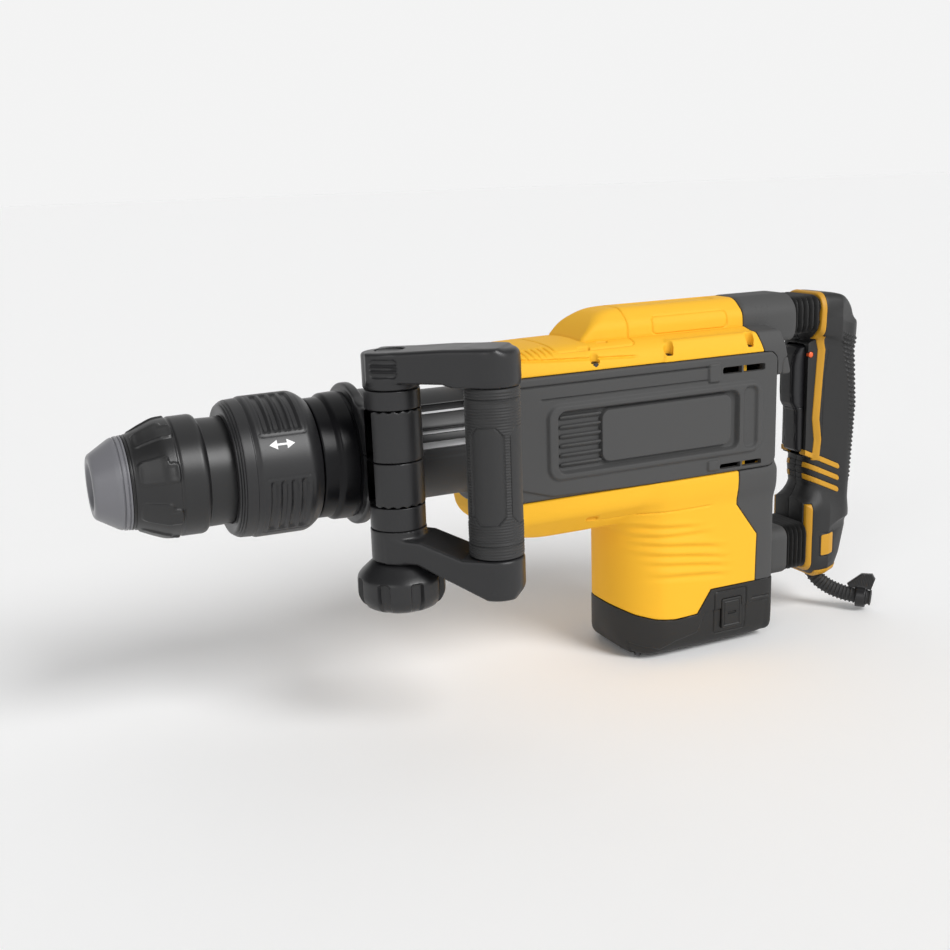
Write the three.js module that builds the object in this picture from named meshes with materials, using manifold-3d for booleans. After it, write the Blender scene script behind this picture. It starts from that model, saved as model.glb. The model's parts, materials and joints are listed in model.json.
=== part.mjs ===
// Demolition hammer: nose with a locking sleeve and an angle ring, barrel, clamp-on side handle,
// gearcase and upright motor housing, and a sprung rear D-handle. Millimetres, +Z up.
//
// Pieces are modelled in the tool's own frame: x runs back from the nose, z is measured from the
// hammer's axis. The root group then puts the origin at the centre of the flat base.
import * as THREE from "three";
import { mergeVertices } from "three/addons/utils/BufferGeometryUtils.js";
import Module from "manifold-3d";

const wasm = await Module();
wasm.setup();

// ---------------------------------------------------------------- driving dimensions
const GAP = 0.3; // clearance between neighbouring pieces
const WALL = 3.2; // moulded housing wall
const BASE_X = 490; // centre of the flat base, from the nose
const AXIS_Z = 206; // height of the hammer axis over the base
const BODY_HALF = 52; // half width of the housings

const NOSE = { rim: 23, cap: 34, sleeve: 44, skirt: 39.8, ring: 53.5, socket: 9.2 };

const BARREL = { collar: 49, neck: 43, front: 160, clamp: 190, flange: 290, back: 318 };
const TUBE = { outer: 35, inner: 30, front: 176, back: 395 };

const HOUSING = { front: 300, back: 583, belly: -88, crown: 76, hump: 95 };
const COVER = { front: 306, back: 563, top: 52, bottom: -48, inner: 47.2 };
const MOTOR = { front: 414, back: 580, rotorX: 490 };

const GEAR = { module: 1.75, crankTeeth: 46, pinionTeeth: 14, low: -56, high: -44 };
const CRANK_X = MOTOR.rotorX - (GEAR.module * (GEAR.crankTeeth + GEAR.pinionTeeth)) / 2;
const CRANK_THROW = 16;
const ROD_LENGTH = 85;

const HANDLE = { front: 626, back: 688, half: 19, top: 94, bottom: -172 };
const LIP = { front: 625, half: 16.6 }; // the handle's lip round the trigger
const UPPER_LINK_Z = 75; // height of the upper bellows and guide rod
const LOWER_LINK_Z = -138;

const COLUMN = { x: 205.5, y: -70, radius: 20.7, split: 8.7 };
const GRIP = { reach: 74.4, radius: 20, core: 15, turn: -41.2 };
const CLAMP_SCREW = { x: 209, y: 54, radius: 3, ear: 11 };
const COVER_SCREWS = [386, 455, 535]; // screws down each edge of the top cover

// ---------------------------------------------------------------- materials
function finish(color, roughness, metalness = 0) {
  return new THREE.MeshStandardMaterial({ color, roughness, metalness });
}
const YELLOW = finish(0xf0b41e, 0.5);
const CHARCOAL = finish(0x454545, 0.6);
const BLACK = finish(0x222222, 0.55);
const RUBBER = finish(0x2b2b2b, 0.85);
const CAST_BLACK = finish(0x1a1a1c, 0.4, 0.3);
const STEEL = finish(0xb8babd, 0.3, 1);
const COPPER = finish(0xa8643a, 0.45, 0.8);
const CARBON = finish(0x2e2e30, 0.9);
const LENS = finish(0xe0562c, 0.2);

// ---------------------------------------------------------------- solids
// A closed three.js geometry as a solid that can be joined and cut.
function solid(geometry) {
  const bare = geometry.index ? geometry.toNonIndexed() : geometry.clone();
  bare.deleteAttribute("normal");
  bare.deleteAttribute("uv");
  const merged = mergeVertices(bare, 1e-4);
  return new wasm.Manifold(
    new wasm.Mesh({
      numProp: 3,
      vertProperties: merged.attributes.position.array,
      triVerts: new Uint32Array(merged.index.array),
    }),
  );
}

// The solid back as a three.js geometry.
function geometryOf(shape) {
  const mesh = shape.getMesh();
  const positions = new Float32Array(mesh.numVert * 3);
  for (let i = 0; i < mesh.numVert; i += 1) {
    const start = i * mesh.numProp;
    positions.set(mesh.vertProperties.subarray(start, start + 3), i * 3);
  }
  return new THREE.BufferGeometry()
    .setAttribute("position", new THREE.BufferAttribute(positions, 3))
    .setIndex(new THREE.BufferAttribute(mesh.triVerts, 1));
}

function join(...shapes) {
  return shapes.reduce((all, shape) => all.add(shape));
}

function cut(body, ...tools) {
  return tools.reduce((left, tool) => left.subtract(tool), body);
}

function box(x0, x1, y0, y1, z0, z1) {
  const block = new THREE.BoxGeometry(x1 - x0, y1 - y0, z1 - z0);
  return solid(block.translate((x0 + x1) / 2, (y0 + y1) / 2, (z0 + z1) / 2));
}

// A profile of [height, radius] pairs turned about Y, whichever way round it was drawn.
function turned(profile, segments, place) {
  const points = profile.map(([height, radius]) => new THREE.Vector2(radius, height));
  const made = solid(place(new THREE.LatheGeometry(points, segments)));
  if (made.volume() > 0) return made;
  return solid(place(new THREE.LatheGeometry(points.reverse(), segments)));
}

// [x, radius] pairs turned about the hammer axis.
function turnedX(profile, segments = 24) {
  return turned(profile, segments, (g) => g.rotateZ(-Math.PI / 2));
}

// [z, radius] pairs turned about an upright axis at (x, y).
function turnedZ(profile, x = 0, y = 0, segments = 24) {
  return turned(profile, segments, (g) => g.rotateX(Math.PI / 2).translate(x, y, 0));
}

function tubeX(x0, x1, outer, inner, segments = 28) {
  return turnedX([[x0, inner], [x0, outer], [x1, outer], [x1, inner], [x0, inner]], segments);
}

function rodX(x0, x1, radius, y = 0, z = 0, segments = 20) {
  return turnedX([[x0, 0], [x0, radius], [x1, radius], [x1, 0]], segments).translate([0, y, z]);
}

function tubeZ(z0, z1, outer, inner, x = 0, y = 0, segments = 24) {
  const profile = [[z0, inner], [z0, outer], [z1, outer], [z1, inner], [z0, inner]];
  return turnedZ(profile, x, y, segments);
}

function rodZ(z0, z1, radius, x = 0, y = 0, segments = 20) {
  return turnedZ([[z0, 0], [z0, radius], [z1, radius], [z1, 0]], x, y, segments);
}

function rodY(y0, y1, radius, x, z, segments = 16) {
  const made = new THREE.CylinderGeometry(radius, radius, y1 - y0, segments);
  return solid(made.translate(x, (y0 + y1) / 2, z));
}

// A closed outline of [a, b, corner radius] points. A corner too big for its edges is made to fit.
function outline(corners) {
  const shape = new THREE.Shape();
  corners.forEach(([a, b, wanted = 0], i) => {
    const corner = new THREE.Vector2(a, b);
    const before = new THREE.Vector2(...corners.at(i - 1).slice(0, 2)).sub(corner);
    const after = new THREE.Vector2(...corners[(i + 1) % corners.length].slice(0, 2)).sub(corner);
    const radius = Math.min(wanted, before.length() * 0.48, after.length() * 0.48);
    const start = corner.clone().add(before.setLength(radius));
    const end = corner.clone().add(after.setLength(radius));
    if (i === 0) shape.moveTo(start.x, start.y);
    else shape.lineTo(start.x, start.y);
    if (radius > 0) shape.quadraticCurveTo(corner.x, corner.y, end.x, end.y);
  });
  shape.closePath();
  return shape;
}

function extruded(shape, depth, curveSegments) {
  return new THREE.ExtrudeGeometry(shape, { depth, bevelEnabled: false, curveSegments });
}

// An outline of [x, z] points, from y0 to y1.
function prismY(corners, y0, y1, curveSegments = 2) {
  const made = extruded(outline(corners), y1 - y0, curveSegments);
  return solid(made.rotateX(Math.PI / 2).translate(0, y1, 0));
}

// An outline of [y, z] points, from x0 to x1.
function prismX(corners, x0, x1, curveSegments = 2) {
  const turn = new THREE.Matrix4().makeBasis(
    new THREE.Vector3(0, 1, 0),
    new THREE.Vector3(0, 0, 1),
    new THREE.Vector3(1, 0, 0),
  );
  const made = extruded(outline(corners), x1 - x0, curveSegments);
  return solid(made.applyMatrix4(turn).translate(x0, 0, 0));
}

// An outline of [x, y] points, from z0 to z1.
function prismZ(corners, z0, z1, curveSegments = 2) {
  return solid(extruded(outline(corners), z1 - z0, curveSegments).translate(0, 0, z0));
}

// A rectangle's corners about (0, middle), rounded.
function roundedRect(half, low, high, radius) {
  return [[-half, low, radius], [half, low, radius], [half, high, radius], [-half, high, radius]];
}

// Both halves of an outline given for y >= 0, running from the bottom up.
function mirrored(side) {
  const other = side.map(([y, z, radius]) => [-y, z, radius]).reverse();
  return [...side, ...other];
}

// ---------------------------------------------------------------- nose
function noseCap() {
  return turnedX([
    [24.2, 22.3], [7, 22.3], [7, 12.5], [2.5, 15], [0, 17], [0, 21.5], [1.2, NOSE.rim],
    [16, 32.4], [17.5, NOSE.cap - 1], [24.2, NOSE.cap], [24.2, 22.3],
  ]);
}

function toolHolder() {
  return turnedX([
    [8, NOSE.socket], [8, 22], [121, 22], [121, 30], [156, 30], [156, 29], [205, 29],
    [205, 16], [112, 16], [108, NOSE.socket], [8, NOSE.socket],
  ]);
}

function lockSleeve() {
  return turnedX([
    [24.6, 31], [24.6, NOSE.cap], [27, 34.6], [50, 43.4], [52, NOSE.sleeve], [76, NOSE.sleeve],
    [79, 42], [79.5, NOSE.skirt], [106, NOSE.skirt], [106, 36.5], [84, 36.5], [82, 24],
    [76, 22.5], [40, 22.5], [24.6, 31],
  ]);
}

function angleRing() {
  return turnedX([
    [96, 40.4], [95.5, 47], [97, 50.3], [101, 52], [120, NOSE.ring - 0.5], [148, NOSE.ring],
    [156, 51], [159, 47], [159, 30.4], [124, 30.4], [122, 40.4], [96, 40.4],
  ]);
}

// A coil spring about X or Z, as one round wire along a helix.
function coilSpring(radius, wire, from, to, turns, upright = false) {
  class Helix extends THREE.Curve {
    getPoint(t, target = new THREE.Vector3()) {
      const angle = 2 * Math.PI * turns * t;
      const along = from + (to - from) * t;
      const a = radius * Math.cos(angle);
      const b = radius * Math.sin(angle);
      return upright ? target.set(a, b, along) : target.set(along, a, b);
    }
  }
  const section = new THREE.Shape().absarc(0, 0, wire / 2, 0, 2 * Math.PI);
  const wound = new THREE.ExtrudeGeometry(section, {
    steps: Math.round(turns * 8),
    curveSegments: 3,
    bevelEnabled: false,
    extrudePath: new Helix(),
  });
  return solid(wound);
}

// ---------------------------------------------------------------- barrel and hammer works
const SLOT_ANGLES = [[44.8, 55.9], [22, 27.6], [5.8, 13.4]]; // above the axis, on each side

// A wedge-shaped cutter that opens one lengthwise slot in the neck.
function slotCutter(low, high, side) {
  const reach = BARREL.neck + 6;
  const corner = (degrees) => {
    const angle = THREE.MathUtils.degToRad(degrees);
    return [side * reach * Math.cos(angle), reach * Math.sin(angle)];
  };
  const wedge = [[0, 0], corner(low), corner(high)];
  const ends = prismX(side > 0 ? wedge : wedge.reverse(), 236, BARREL.flange - 2, 1);
  return cut(ends, rodX(230, BARREL.flange, TUBE.outer + 1, 0, 0, 24));
}

function barrelCasting() {
  const body = turnedX([
    [BARREL.front, 34], [BARREL.front, 46], [172, 46], [174, BARREL.collar],
    [BARREL.clamp - 0.5, BARREL.collar], [BARREL.clamp, BARREL.neck],
    [BARREL.flange, BARREL.neck], [BARREL.flange, 51],
    [HOUSING.front - GAP, 51], [HOUSING.front - GAP, BARREL.neck], [BARREL.back, BARREL.neck],
    [BARREL.back, TUBE.outer + GAP], [TUBE.front - 0.5, TUBE.outer + GAP],
    [TUBE.front - 0.5, 34], [BARREL.front, 34],
  ], 36);
  const slots = SLOT_ANGLES.flatMap(([low, high]) => [-1, 1].map((s) => slotCutter(low, high, s)));
  return cut(body, ...slots);
}

function hammerTube() {
  return tubeX(TUBE.front, TUBE.back, TUBE.outer, TUBE.inner);
}

function beatPiece() {
  return turnedX([
    [116, 0], [116, 8.8], [150, 8.8], [152, 15.6], [196, 15.6], [199, 11], [214, 11], [214, 0],
  ], 24);
}

function ram() {
  return turnedX([
    [228, 0], [228, 12], [238, 12], [240, 29.7], [282, 29.7], [282, 0],
  ], 28);
}

const WRIST_X = CRANK_X + CRANK_THROW - ROD_LENGTH;

function piston() {
  const cup = turnedX([
    [WRIST_X - 18, 0], [WRIST_X - 18, 29.7], [WRIST_X + 16, 29.7], [WRIST_X + 16, 24],
    [WRIST_X - 11, 24], [WRIST_X - 11, 0],
  ], 28);
  return cut(cup, rodZ(-40, 40, 5 + GAP, WRIST_X, 0, 16));
}

function wristPin() {
  return rodZ(-27, 27, 5, WRIST_X, 0, 16);
}

function connectingRod() {
  const big = CRANK_X + CRANK_THROW;
  const shank = box(WRIST_X + 4, big - 6, -7, 7, -7, 7);
  const rod = join(rodZ(-9, 9, 10, WRIST_X, 0, 20), rodZ(-10, 10, 14, big, 0, 24), shank);
  return cut(rod, rodZ(-20, 20, 5 + GAP, WRIST_X, 0, 16), rodZ(-20, 20, 7, big, 0, 20));
}

// ---------------------------------------------------------------- gears
// A spur gear's outline with straight flanks through the involute's tip, thinned for backlash.
function gearOutline(teeth, phase) {
  const { module } = GEAR;
  const pitch = (module * teeth) / 2;
  const base = pitch * Math.cos(THREE.MathUtils.degToRad(20));
  const tip = pitch + module * 0.92;
  const root = pitch - module * 1.25;
  const involute = (radius) => {
    const spread = Math.sqrt(Math.max((radius / base) ** 2 - 1, 0));
    return spread - Math.atan(spread);
  };
  const halfTooth = Math.PI / (2 * teeth) - 0.35 / pitch + involute(pitch);
  const points = [];
  for (let tooth = 0; tooth < teeth; tooth += 1) {
    const middle = phase + (2 * Math.PI * tooth) / teeth;
    const side = [[root, halfTooth + 0.2 / pitch], [tip, halfTooth - involute(tip)]];
    side.forEach(([r, a]) => points.push([r, middle - a]));
    side.reverse().forEach(([r, a]) => points.push([r, middle + a]));
  }
  return points.map(([r, a]) => [r * Math.cos(a), r * Math.sin(a)]);
}

function crankGear() {
  const wheel = prismZ(gearOutline(GEAR.crankTeeth, 0), GEAR.low, GEAR.high, 1);
  const shaft = rodZ(-84, GEAR.low + 1, 9, 0, 0, 20);
  const web = rodZ(GEAR.high - 1, -38, 30, 0, 0, 28);
  const pin = rodZ(-39, -12, 6, CRANK_THROW, 0, 16);
  return join(wheel, shaft, web, pin);
}

function rotorShaft() {
  const phase = Math.PI / GEAR.pinionTeeth;
  const pinion = prismZ(gearOutline(GEAR.pinionTeeth, Math.PI + phase), GEAR.low, GEAR.high, 1);
  const shaft = rodZ(-199, GEAR.low + 1, 6, 0, 0, 16);
  return join(pinion, shaft);
}

// ---------------------------------------------------------------- motor
function armatureCore() {
  return tubeZ(-150, -102, 27, 6 + GAP, 0, 0, 28);
}

function commutator() {
  return tubeZ(-182, -162, 16, 6 + GAP, 0, 0, 20);
}

function coolingFan() {
  const hub = tubeZ(-96, -84, 12, 6 + GAP, 0, 0, 12);
  const disc = tubeZ(-86, -84, 42, 11, 0, 0, 24);
  const blades = Array.from({ length: 8 }, (_, i) =>
    box(11, 40, -0.9, 0.9, -95, -85).rotate([0, 0, i * 45]),
  );
  return join(hub, disc, ...blades);
}

function fieldStack() {
  const ring = tubeZ(-156, -100, 45, 28, 0, 0, 36);
  return cut(ring, box(-60, 60, 42, 60, -200, 0), box(-60, 60, -60, -42, -200, 0));
}

function ballBearing(low, high, outer) {
  return tubeZ(low, high, outer, 6 + GAP, 0, 0, 20);
}

function carbonBrush(side) {
  const near = side * (16 + GAP);
  const far = side * 40;
  return box(-6, 6, Math.min(near, far), Math.max(near, far), -177, -167);
}

// ---------------------------------------------------------------- housings
// The whole closed body, drawn in by an inset, from which each shell is cut.
function bodyEnvelope(inset) {
  const half = BODY_HALF - inset;
  const crown = HOUSING.crown - inset;
  const belly = HOUSING.belly + inset;
  const caseSection = mirrored([
    [half - 22, belly, 14], [half, belly + 34, 30], [half, 52, 2], [half - 3, 62, 3],
    [half - 15, crown - 5, 8], [half - 32, crown, 8],
  ]);
  const caseSide = [
    [HOUSING.front + inset, belly + 14, 10], [HOUSING.front + 34, belly, 30],
    [HOUSING.back + 5, belly, 1], [HOUSING.back + 5, 62, 1], [565, crown, 6],
    [HOUSING.front + 50, crown, 20], [HOUSING.front + inset, 66 - inset, 8],
  ];
  const gearcase = prismX(caseSection, HOUSING.front - 10, HOUSING.back + 10)
    .intersect(prismY(caseSide, -80, 80));

  const humpTop = HOUSING.hump - inset;
  const humpSection = mirrored([[30 - inset, 50, 1], [28 - inset, 84, 4], [14, humpTop, 6]]);
  const humpSide = [
    [372 + inset, 60, 1], [560, 60, 1], [560, humpTop, 1], [426 + inset, humpTop, 10],
    [407 + inset, humpTop - 3, 10], [390 + inset, 80 - inset, 8],
  ];
  const hump = prismX(humpSection, 360, 560).intersect(prismY(humpSide, -60, 60));

  const low = -AXIS_Z + inset;
  const motorPlan = [
    [MOTOR.front + inset, -half, 48], [MOTOR.back, -half, 1],
    [MOTOR.back, half, 1], [MOTOR.front + inset, half, 48],
  ];
  const motorSide = [
    [MOTOR.front + inset, -60, 1], [MOTOR.front + inset, low + 16, 12], [432, low, 12],
    [560, low, 10], [MOTOR.back - inset, low + 13, 8], [MOTOR.back + 4 - inset, -60, 1],
  ];
  const motorSection = mirrored([[half - 9, low, 5], [half, low + 14, 8], [half, -60, 1]]);
  const motor = prismZ(motorPlan, low, -60)
    .intersect(prismY(motorSide, -80, 80))
    .intersect(prismX(motorSection, 380, 620));
  const tail = prismZ([
    [200, -half, 1], [564 - inset, -half, 6], [HOUSING.back - inset, -14, 6],
    [HOUSING.back - inset, 14, 6], [564 - inset, half, 6], [200, half, 1],
  ], -250, 150);
  return join(gearcase, hump, motor).intersect(tail);
}

const OUTER = bodyEnvelope(0);
const INNER = bodyEnvelope(WALL);
const SHELL = OUTER.subtract(INNER);

// The side panels sit in a recess of this outline on both flanks.
function panelRecess() {
  const corners = [
    [HOUSING.front - 5, COVER.bottom, 1], [COVER.back, COVER.bottom, 10],
    [COVER.back, COVER.top, 10], [HOUSING.front - 5, COVER.top, 1],
  ];
  const near = prismY(corners, -80, -COVER.inner + GAP);
  return join(near, near.mirror([0, 1, 0]));
}
const RECESS = panelRecess();
const RECESS_FLOOR = prismY(
  [[HOUSING.front + 6, -60], [COVER.back + 3, -60], [COVER.back + 3, 60], [HOUSING.front + 6, 60]],
  -COVER.inner + GAP + WALL - 0.2,
  COVER.inner - GAP - WALL + 0.2,
);

// Recessed flank behind the side panels: the panel zone filled in, then hollowed again.
function recessed(zone) {
  const thick = OUTER.intersect(zone).subtract(RECESS);
  return thick.subtract(INNER.intersect(join(RECESS_FLOOR, outsideRecess())));
}

// Everything that lies above or below the panel zone, where the shell keeps its plain wall.
function outsideRecess() {
  return join(
    box(200, 700, -90, 90, COVER.top + 3, 200),
    box(200, 700, -90, 90, -300, COVER.bottom - 3),
    box(COVER.back + 3, 700, -90, 90, -300, 200),
  );
}

// The yellow housing's edge against the rear cover and the base cap, seen from the side.
const PARTING = {
  flank: [[549, COVER.bottom], [524, COVER.bottom], [524, -78], [546, -108], [545, -151]],
  base: [[498, -151], [484, -170], [440, -170], [424, -163], [404, -152]],
};

function topCover() {
  const zone = prismY([
    [290, COVER.top + GAP / 2], [549, COVER.top + GAP / 2], [543, 70], [543, 120], [290, 120],
  ], -80, 80);
  const screwWells = COVER_SCREWS.flatMap((x) => [-1, 1].map((side) => (
    rodZ(57.5, 80, 4.2, x, side * 48.6, 12)
  )));
  return cut(SHELL.intersect(zone), ...screwWells, frontBore());
}

function frontBore() {
  return rodX(HOUSING.front - 20, HOUSING.front + 20, BARREL.neck + GAP, 0, 0, 36);
}

function mainHousing() {
  const zone = prismY([
    [290, COVER.top - GAP / 2], [549 - GAP, COVER.top - GAP / 2],
    ...PARTING.flank.map(([x, z]) => [x - GAP, z]),
    ...PARTING.base.map(([x, z]) => [x, z + GAP]),
    [400, -152], [400, -95], [290, -95],
  ].reverse(), -80, 80);
  return cut(recessed(zone), frontBore());
}

function sidePanel(side) {
  const corners = [
    [COVER.front, COVER.bottom + GAP, 3], [COVER.back - GAP, COVER.bottom + GAP, 10],
    [COVER.back - GAP, COVER.top - GAP, 10], [COVER.front, COVER.top - GAP, 3],
  ];
  const plate = prismY(corners, -BODY_HALF - 0.6, -COVER.inner);
  const frame = prismY([
    [340, -36, 8], [552, -36, 12], [552, 32, 12], [340, 32, 8],
  ], -BODY_HALF - 2.4, -BODY_HALF);
  const field = prismY([
    [349, -29, 6], [541, -29, 6], [541, 25, 6], [349, 25, 6],
  ], -BODY_HALF - 9, -BODY_HALF - 0.4);
  const badge = prismY([
    [390, -24, 6], [512, -24, 6], [512, 21, 6], [390, 21, 6],
  ], -BODY_HALF - 2.2, -BODY_HALF);
  const vents = [[44, 48.5], [-43, -38.5]].map(([low, high]) =>
    box(506, 548, -60, -40, low - 1.5, high - 1.5),
  );
  const panel = cut(join(cut(join(plate, frame), field), badge), ...vents);
  return side < 0 ? panel : panel.mirror([0, 1, 0]);
}

function rearCover() {
  const zone = prismY([
    [543 + GAP, 120], [543 + GAP, 70], [549 + GAP, COVER.top], ...PARTING.flank,
    [545, -220], [620, -220], [620, 120],
  ].reverse(), -80, 80);
  const behindBase = box(500, 566, -80, 80, -230, -151 + GAP);
  const shell = recessed(zone).subtract(behindBase);

  const upper = prismX(mirrored([[24, 57, 4], [28, 62, 4], [28, 84, 6], [18, 93, 8]]), 546, 600);
  const upperRoom = prismX(mirrored([[20, 61, 4], [24, 65, 4], [24, 83, 6], [16, 89, 8]]), 540, 594);
  const lower = prismX(roundedRect(28, -160, -117, 9), 572, 598);
  const lowerRoom = prismX(roundedRect(24, -156, -121, 7), 566, 592);
  const whole = join(shell, upper.subtract(INNER), lower.subtract(INNER));
  return cut(
    whole, topZone(), upperRoom, lowerRoom,
    rodX(580, 610, 9, 0, UPPER_LINK_Z), rodX(580, 610, 9, 0, LOWER_LINK_Z),
  );
}

// Keeps the rear cover's upper arm clear of the top cover.
function topZone() {
  const corners = [
    [290, COVER.top], [549 + GAP, COVER.top], [543 + GAP, 70], [543 + GAP, 120], [290, 120],
  ];
  return prismY(corners, -80, 80);
}

function baseCap() {
  const zone = prismY([
    [566 - GAP, -151], [566 - GAP, -230], [390, -230], [390, -152],
    ...PARTING.base.slice().reverse(),
  ].reverse(), -80, 80);
  const window = box(504, 532, -80, 80, -192, -160);
  return cut(SHELL.intersect(zone), window);
}

function brushCover(side) {
  const plate = prismY([
    [504 + GAP, -192 + GAP, 2], [532 - GAP, -192 + GAP, 2],
    [532 - GAP, -160 - GAP, 2], [504 + GAP, -160 - GAP, 2],
  ], -BODY_HALF - 1, -BODY_HALF + WALL);
  return side < 0 ? plate : plate.mirror([0, 1, 0]);
}

// ---------------------------------------------------------------- rear handle
function handleSolid(inset) {
  const t = inset;
  const half = HANDLE.half - t;
  const column = prismY([
    [HANDLE.front + 9 + t, 62, 2], [HANDLE.front + 9 + t, -58, 3], [622 + t, -68, 5],
    [625 + t, -92, 6], [618 + t, -110, 4], [HANDLE.back - 5 - t, -120, 4],
    [HANDLE.back - 3 - t, -80, 4], [HANDLE.back - t, -12, 20], [HANDLE.back - 4 - t, 62, 4],
  ].reverse(), -half, half);
  const rounded = prismZ([
    [600, -half, 1], [HANDLE.back - 9 - t, -half, 8], [HANDLE.back - t, 0, 14],
    [HANDLE.back - 9 - t, half, 8], [600, half, 1],
  ], -130, 70);
  const top = HANDLE.top - t;
  const topSide = prismY([
    [HANDLE.front + t, 57 + t, 3], [HANDLE.back - 3 - t, 46 + t, 3], [HANDLE.back - t, 58, 8],
    [HANDLE.back - 7 - t, 80, 12], [658, top, 14], [HANDLE.front + t, top - 1, 3],
  ], -27 + t, 27 - t);
  const topSection = prismX(
    mirrored([[20 - t, 44, 4], [27 - t, 60, 5], [27 - t, 84, 6], [17 - t, top, 8]]), 610, 700,
  );
  const topPlan = prismZ([
    [610, -27 + t, 1], [664, -24 + t, 10], [HANDLE.back + 1 - t, -12, 12],
    [HANDLE.back + 1 - t, 12, 12], [664, 24 - t, 10], [610, 27 - t, 1],
  ], 40, 100);
  const topBlock = topSide.intersect(topSection).intersect(topPlan);
  const lowBlock = prismY([
    [621 + t, -97 - t, 3], [621 + t, -158, 3], [632, HANDLE.bottom + t, 6],
    [664, HANDLE.bottom + t, 6], [677 - t, -158, 6], [HANDLE.back - 1 - t, -131, 8],
    [HANDLE.back - 5 - t, -112, 6], [640, -97 - t, 4],
  ].reverse(), -25 + t, 25 - t).intersect(prismZ([
    [610, -27 + t, 1], [640, -27 + t, 8], [HANDLE.back - t, -16, 12],
    [HANDLE.back - t, 16, 12], [640, 27 - t, 8], [610, 27 - t, 1],
  ], -180, -90));
  const lip = box(LIP.front + t, 644, -LIP.half + t, LIP.half - t, -56 + t, 50 - t);
  return join(column.intersect(rounded), lip, topBlock, lowBlock);
}

const HANDLE_SHELL = cut(
  handleSolid(0).subtract(handleSolid(WALL)),
  box(620, 646, -12.4, 12.4, -56, 47),
  rodX(616, 632, 9, 0, UPPER_LINK_Z),
  rodX(616, 632, 9, 0, LOWER_LINK_Z),
  rodZ(-180, -160, 9.5, 650, 0, 20),
);

function handleHalf(side) {
  const near = box(600, 700, -60, -GAP / 2, -190, 110);
  return HANDLE_SHELL.intersect(side < 0 ? near : near.mirror([0, 1, 0]));
}

function trigger() {
  const side = [
    [629, 46, 2], [618, 44, 4], [613.6, 30, 6], [613.6, -6, 6], [619, -14, 6], [619.5, -50, 3],
    [629, -54, 2], [638, -40, 3], [638, 40, 3],
  ];
  return prismY(side, -11.8, 11.8);
}

function guideRod(z) {
  return rodX(584, 640, 7, 0, z, 20);
}

function handleSpring(z, from, to) {
  return coilSpring(9, 1.8, from + 1.2, to - 1.2, 3).translate([0, 0, z]);
}

// A folded rubber gaiter: a thin sleeve with ribs standing out of it.
function bellows(from, to, low, high, half, folds) {
  const pitch = (to - from) / folds;
  const sleeve = prismX(roundedRect(half - 4, low + 4, high - 4, 7), from, to, 2);
  const ribs = Array.from({ length: folds }, (_, i) => {
    const start = from + pitch * (i + 0.22);
    return prismX(roundedRect(half, low, high, 9), start, start + pitch * 0.56, 2);
  });
  const room = prismX(roundedRect(half - 6.5, low + 6.5, high - 6.5, 5), from - 1, to + 1, 2);
  return cut(join(sleeve, ...ribs), room);
}

function powerLight() {
  return rodY(-LIP.half - 1, -LIP.half - 0.1, 1.6, 628, 38, 12);
}

function switchModule() {
  return box(647, 668, -11, 11, -40, 34);
}

// ---------------------------------------------------------------- cable guard
// The sprung rubber sleeve that guards the cable at its inlet, from the exit to its free end.
const GUARD_PATH = [
  [650, 0, -169.5], [650.5, -1, -174], [654, -6, -181], [661, -14, -188],
  [670, -24, -193], [679, -34, -195], [686, -42, -195.5],
];

function cableGuard() {
  const path = new THREE.CatmullRomCurve3(GUARD_PATH.map((p) => new THREE.Vector3(...p)));
  const ring = new THREE.Shape().absarc(0, 0, 7, 0, 2 * Math.PI);
  const sleeve = (section, start, end) => {
    const part = new THREE.CatmullRomCurve3(
      Array.from({ length: 13 }, (_, i) => path.getPoint(start + ((end - start) * i) / 12)),
    );
    const options = { steps: 12, curveSegments: 4, bevelEnabled: false, extrudePath: part };
    return solid(new THREE.ExtrudeGeometry(section, options));
  };
  const collar = rodZ(-167.8, -164, 12, 650, 0, 20);
  const throat = rodZ(-172.5, -163, 9, 650, 0, 20);
  const bore = new THREE.Shape().absarc(0, 0, 4, 0, 2 * Math.PI);
  return cut(join(sleeve(ring, 0, 1), throat, collar), sleeve(bore, 0.5, 1));
}

function cableClip() {
  const tab = prismY([[-4, 6, 2], [14, 6, 2], [16, 20, 5], [4, 24, 6], [-10, 8, 2]], -2.4, 2.4);
  const band = tubeX(0, 9, 10.2, 8.7, 20);
  return join(band, tab.intersect(box(-20, 30, -5, 5, 8.4, 40)));
}

// ---------------------------------------------------------------- side handle
function clampHalf(upper) {
  const { x, y, radius, split } = COLUMN;
  const high = upper ? 46.1 : split - GAP;
  const low = upper ? split : -24.3;
  const zone = box(150, 260, -60, 60, upper ? split : -60, upper ? 60 : split - GAP);
  const bore = BARREL.neck + GAP;
  const band = join(
    tubeX(BARREL.clamp + 0.6, 226, 48.6, bore, 36),
    tubeX(BARREL.clamp + 0.6, 199, 54.6, bore, 36),
  );
  const earLow = upper ? split : split - CLAMP_SCREW.ear - 1;
  const earHigh = upper ? split + CLAMP_SCREW.ear : split - GAP;
  const ear = box(200, 218, 44, 60, earLow, earHigh);
  const hub = rodZ(low, high, radius, x, y, 20);
  const bridge = box(x - 13, x + 15, y, -30, low, high);
  return cut(
    join(band.intersect(zone), hub, bridge, ear),
    rodX(150, 260, bore, 0, 0, 36),
    rodZ(-90, 90, 5 + GAP, x, y, 16),
    rodZ(-40, 60, CLAMP_SCREW.radius + GAP, CLAMP_SCREW.x, CLAMP_SCREW.y, 12),
  );
}

function clampBackScrew() {
  const { x, y, radius, ear } = CLAMP_SCREW;
  const seat = COLUMN.split + ear + GAP;
  return join(rodZ(-6, 24, radius, x, y, 12), rodZ(seat, seat + 4.7, 5.5, x, y, 6));
}

// Pieces below are placed in the side handle's own group: origin on the column, grip along +X.
function indexRing(low, high) {
  return tubeZ(low, high, COLUMN.radius - 0.3, 5 + GAP);
}

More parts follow.
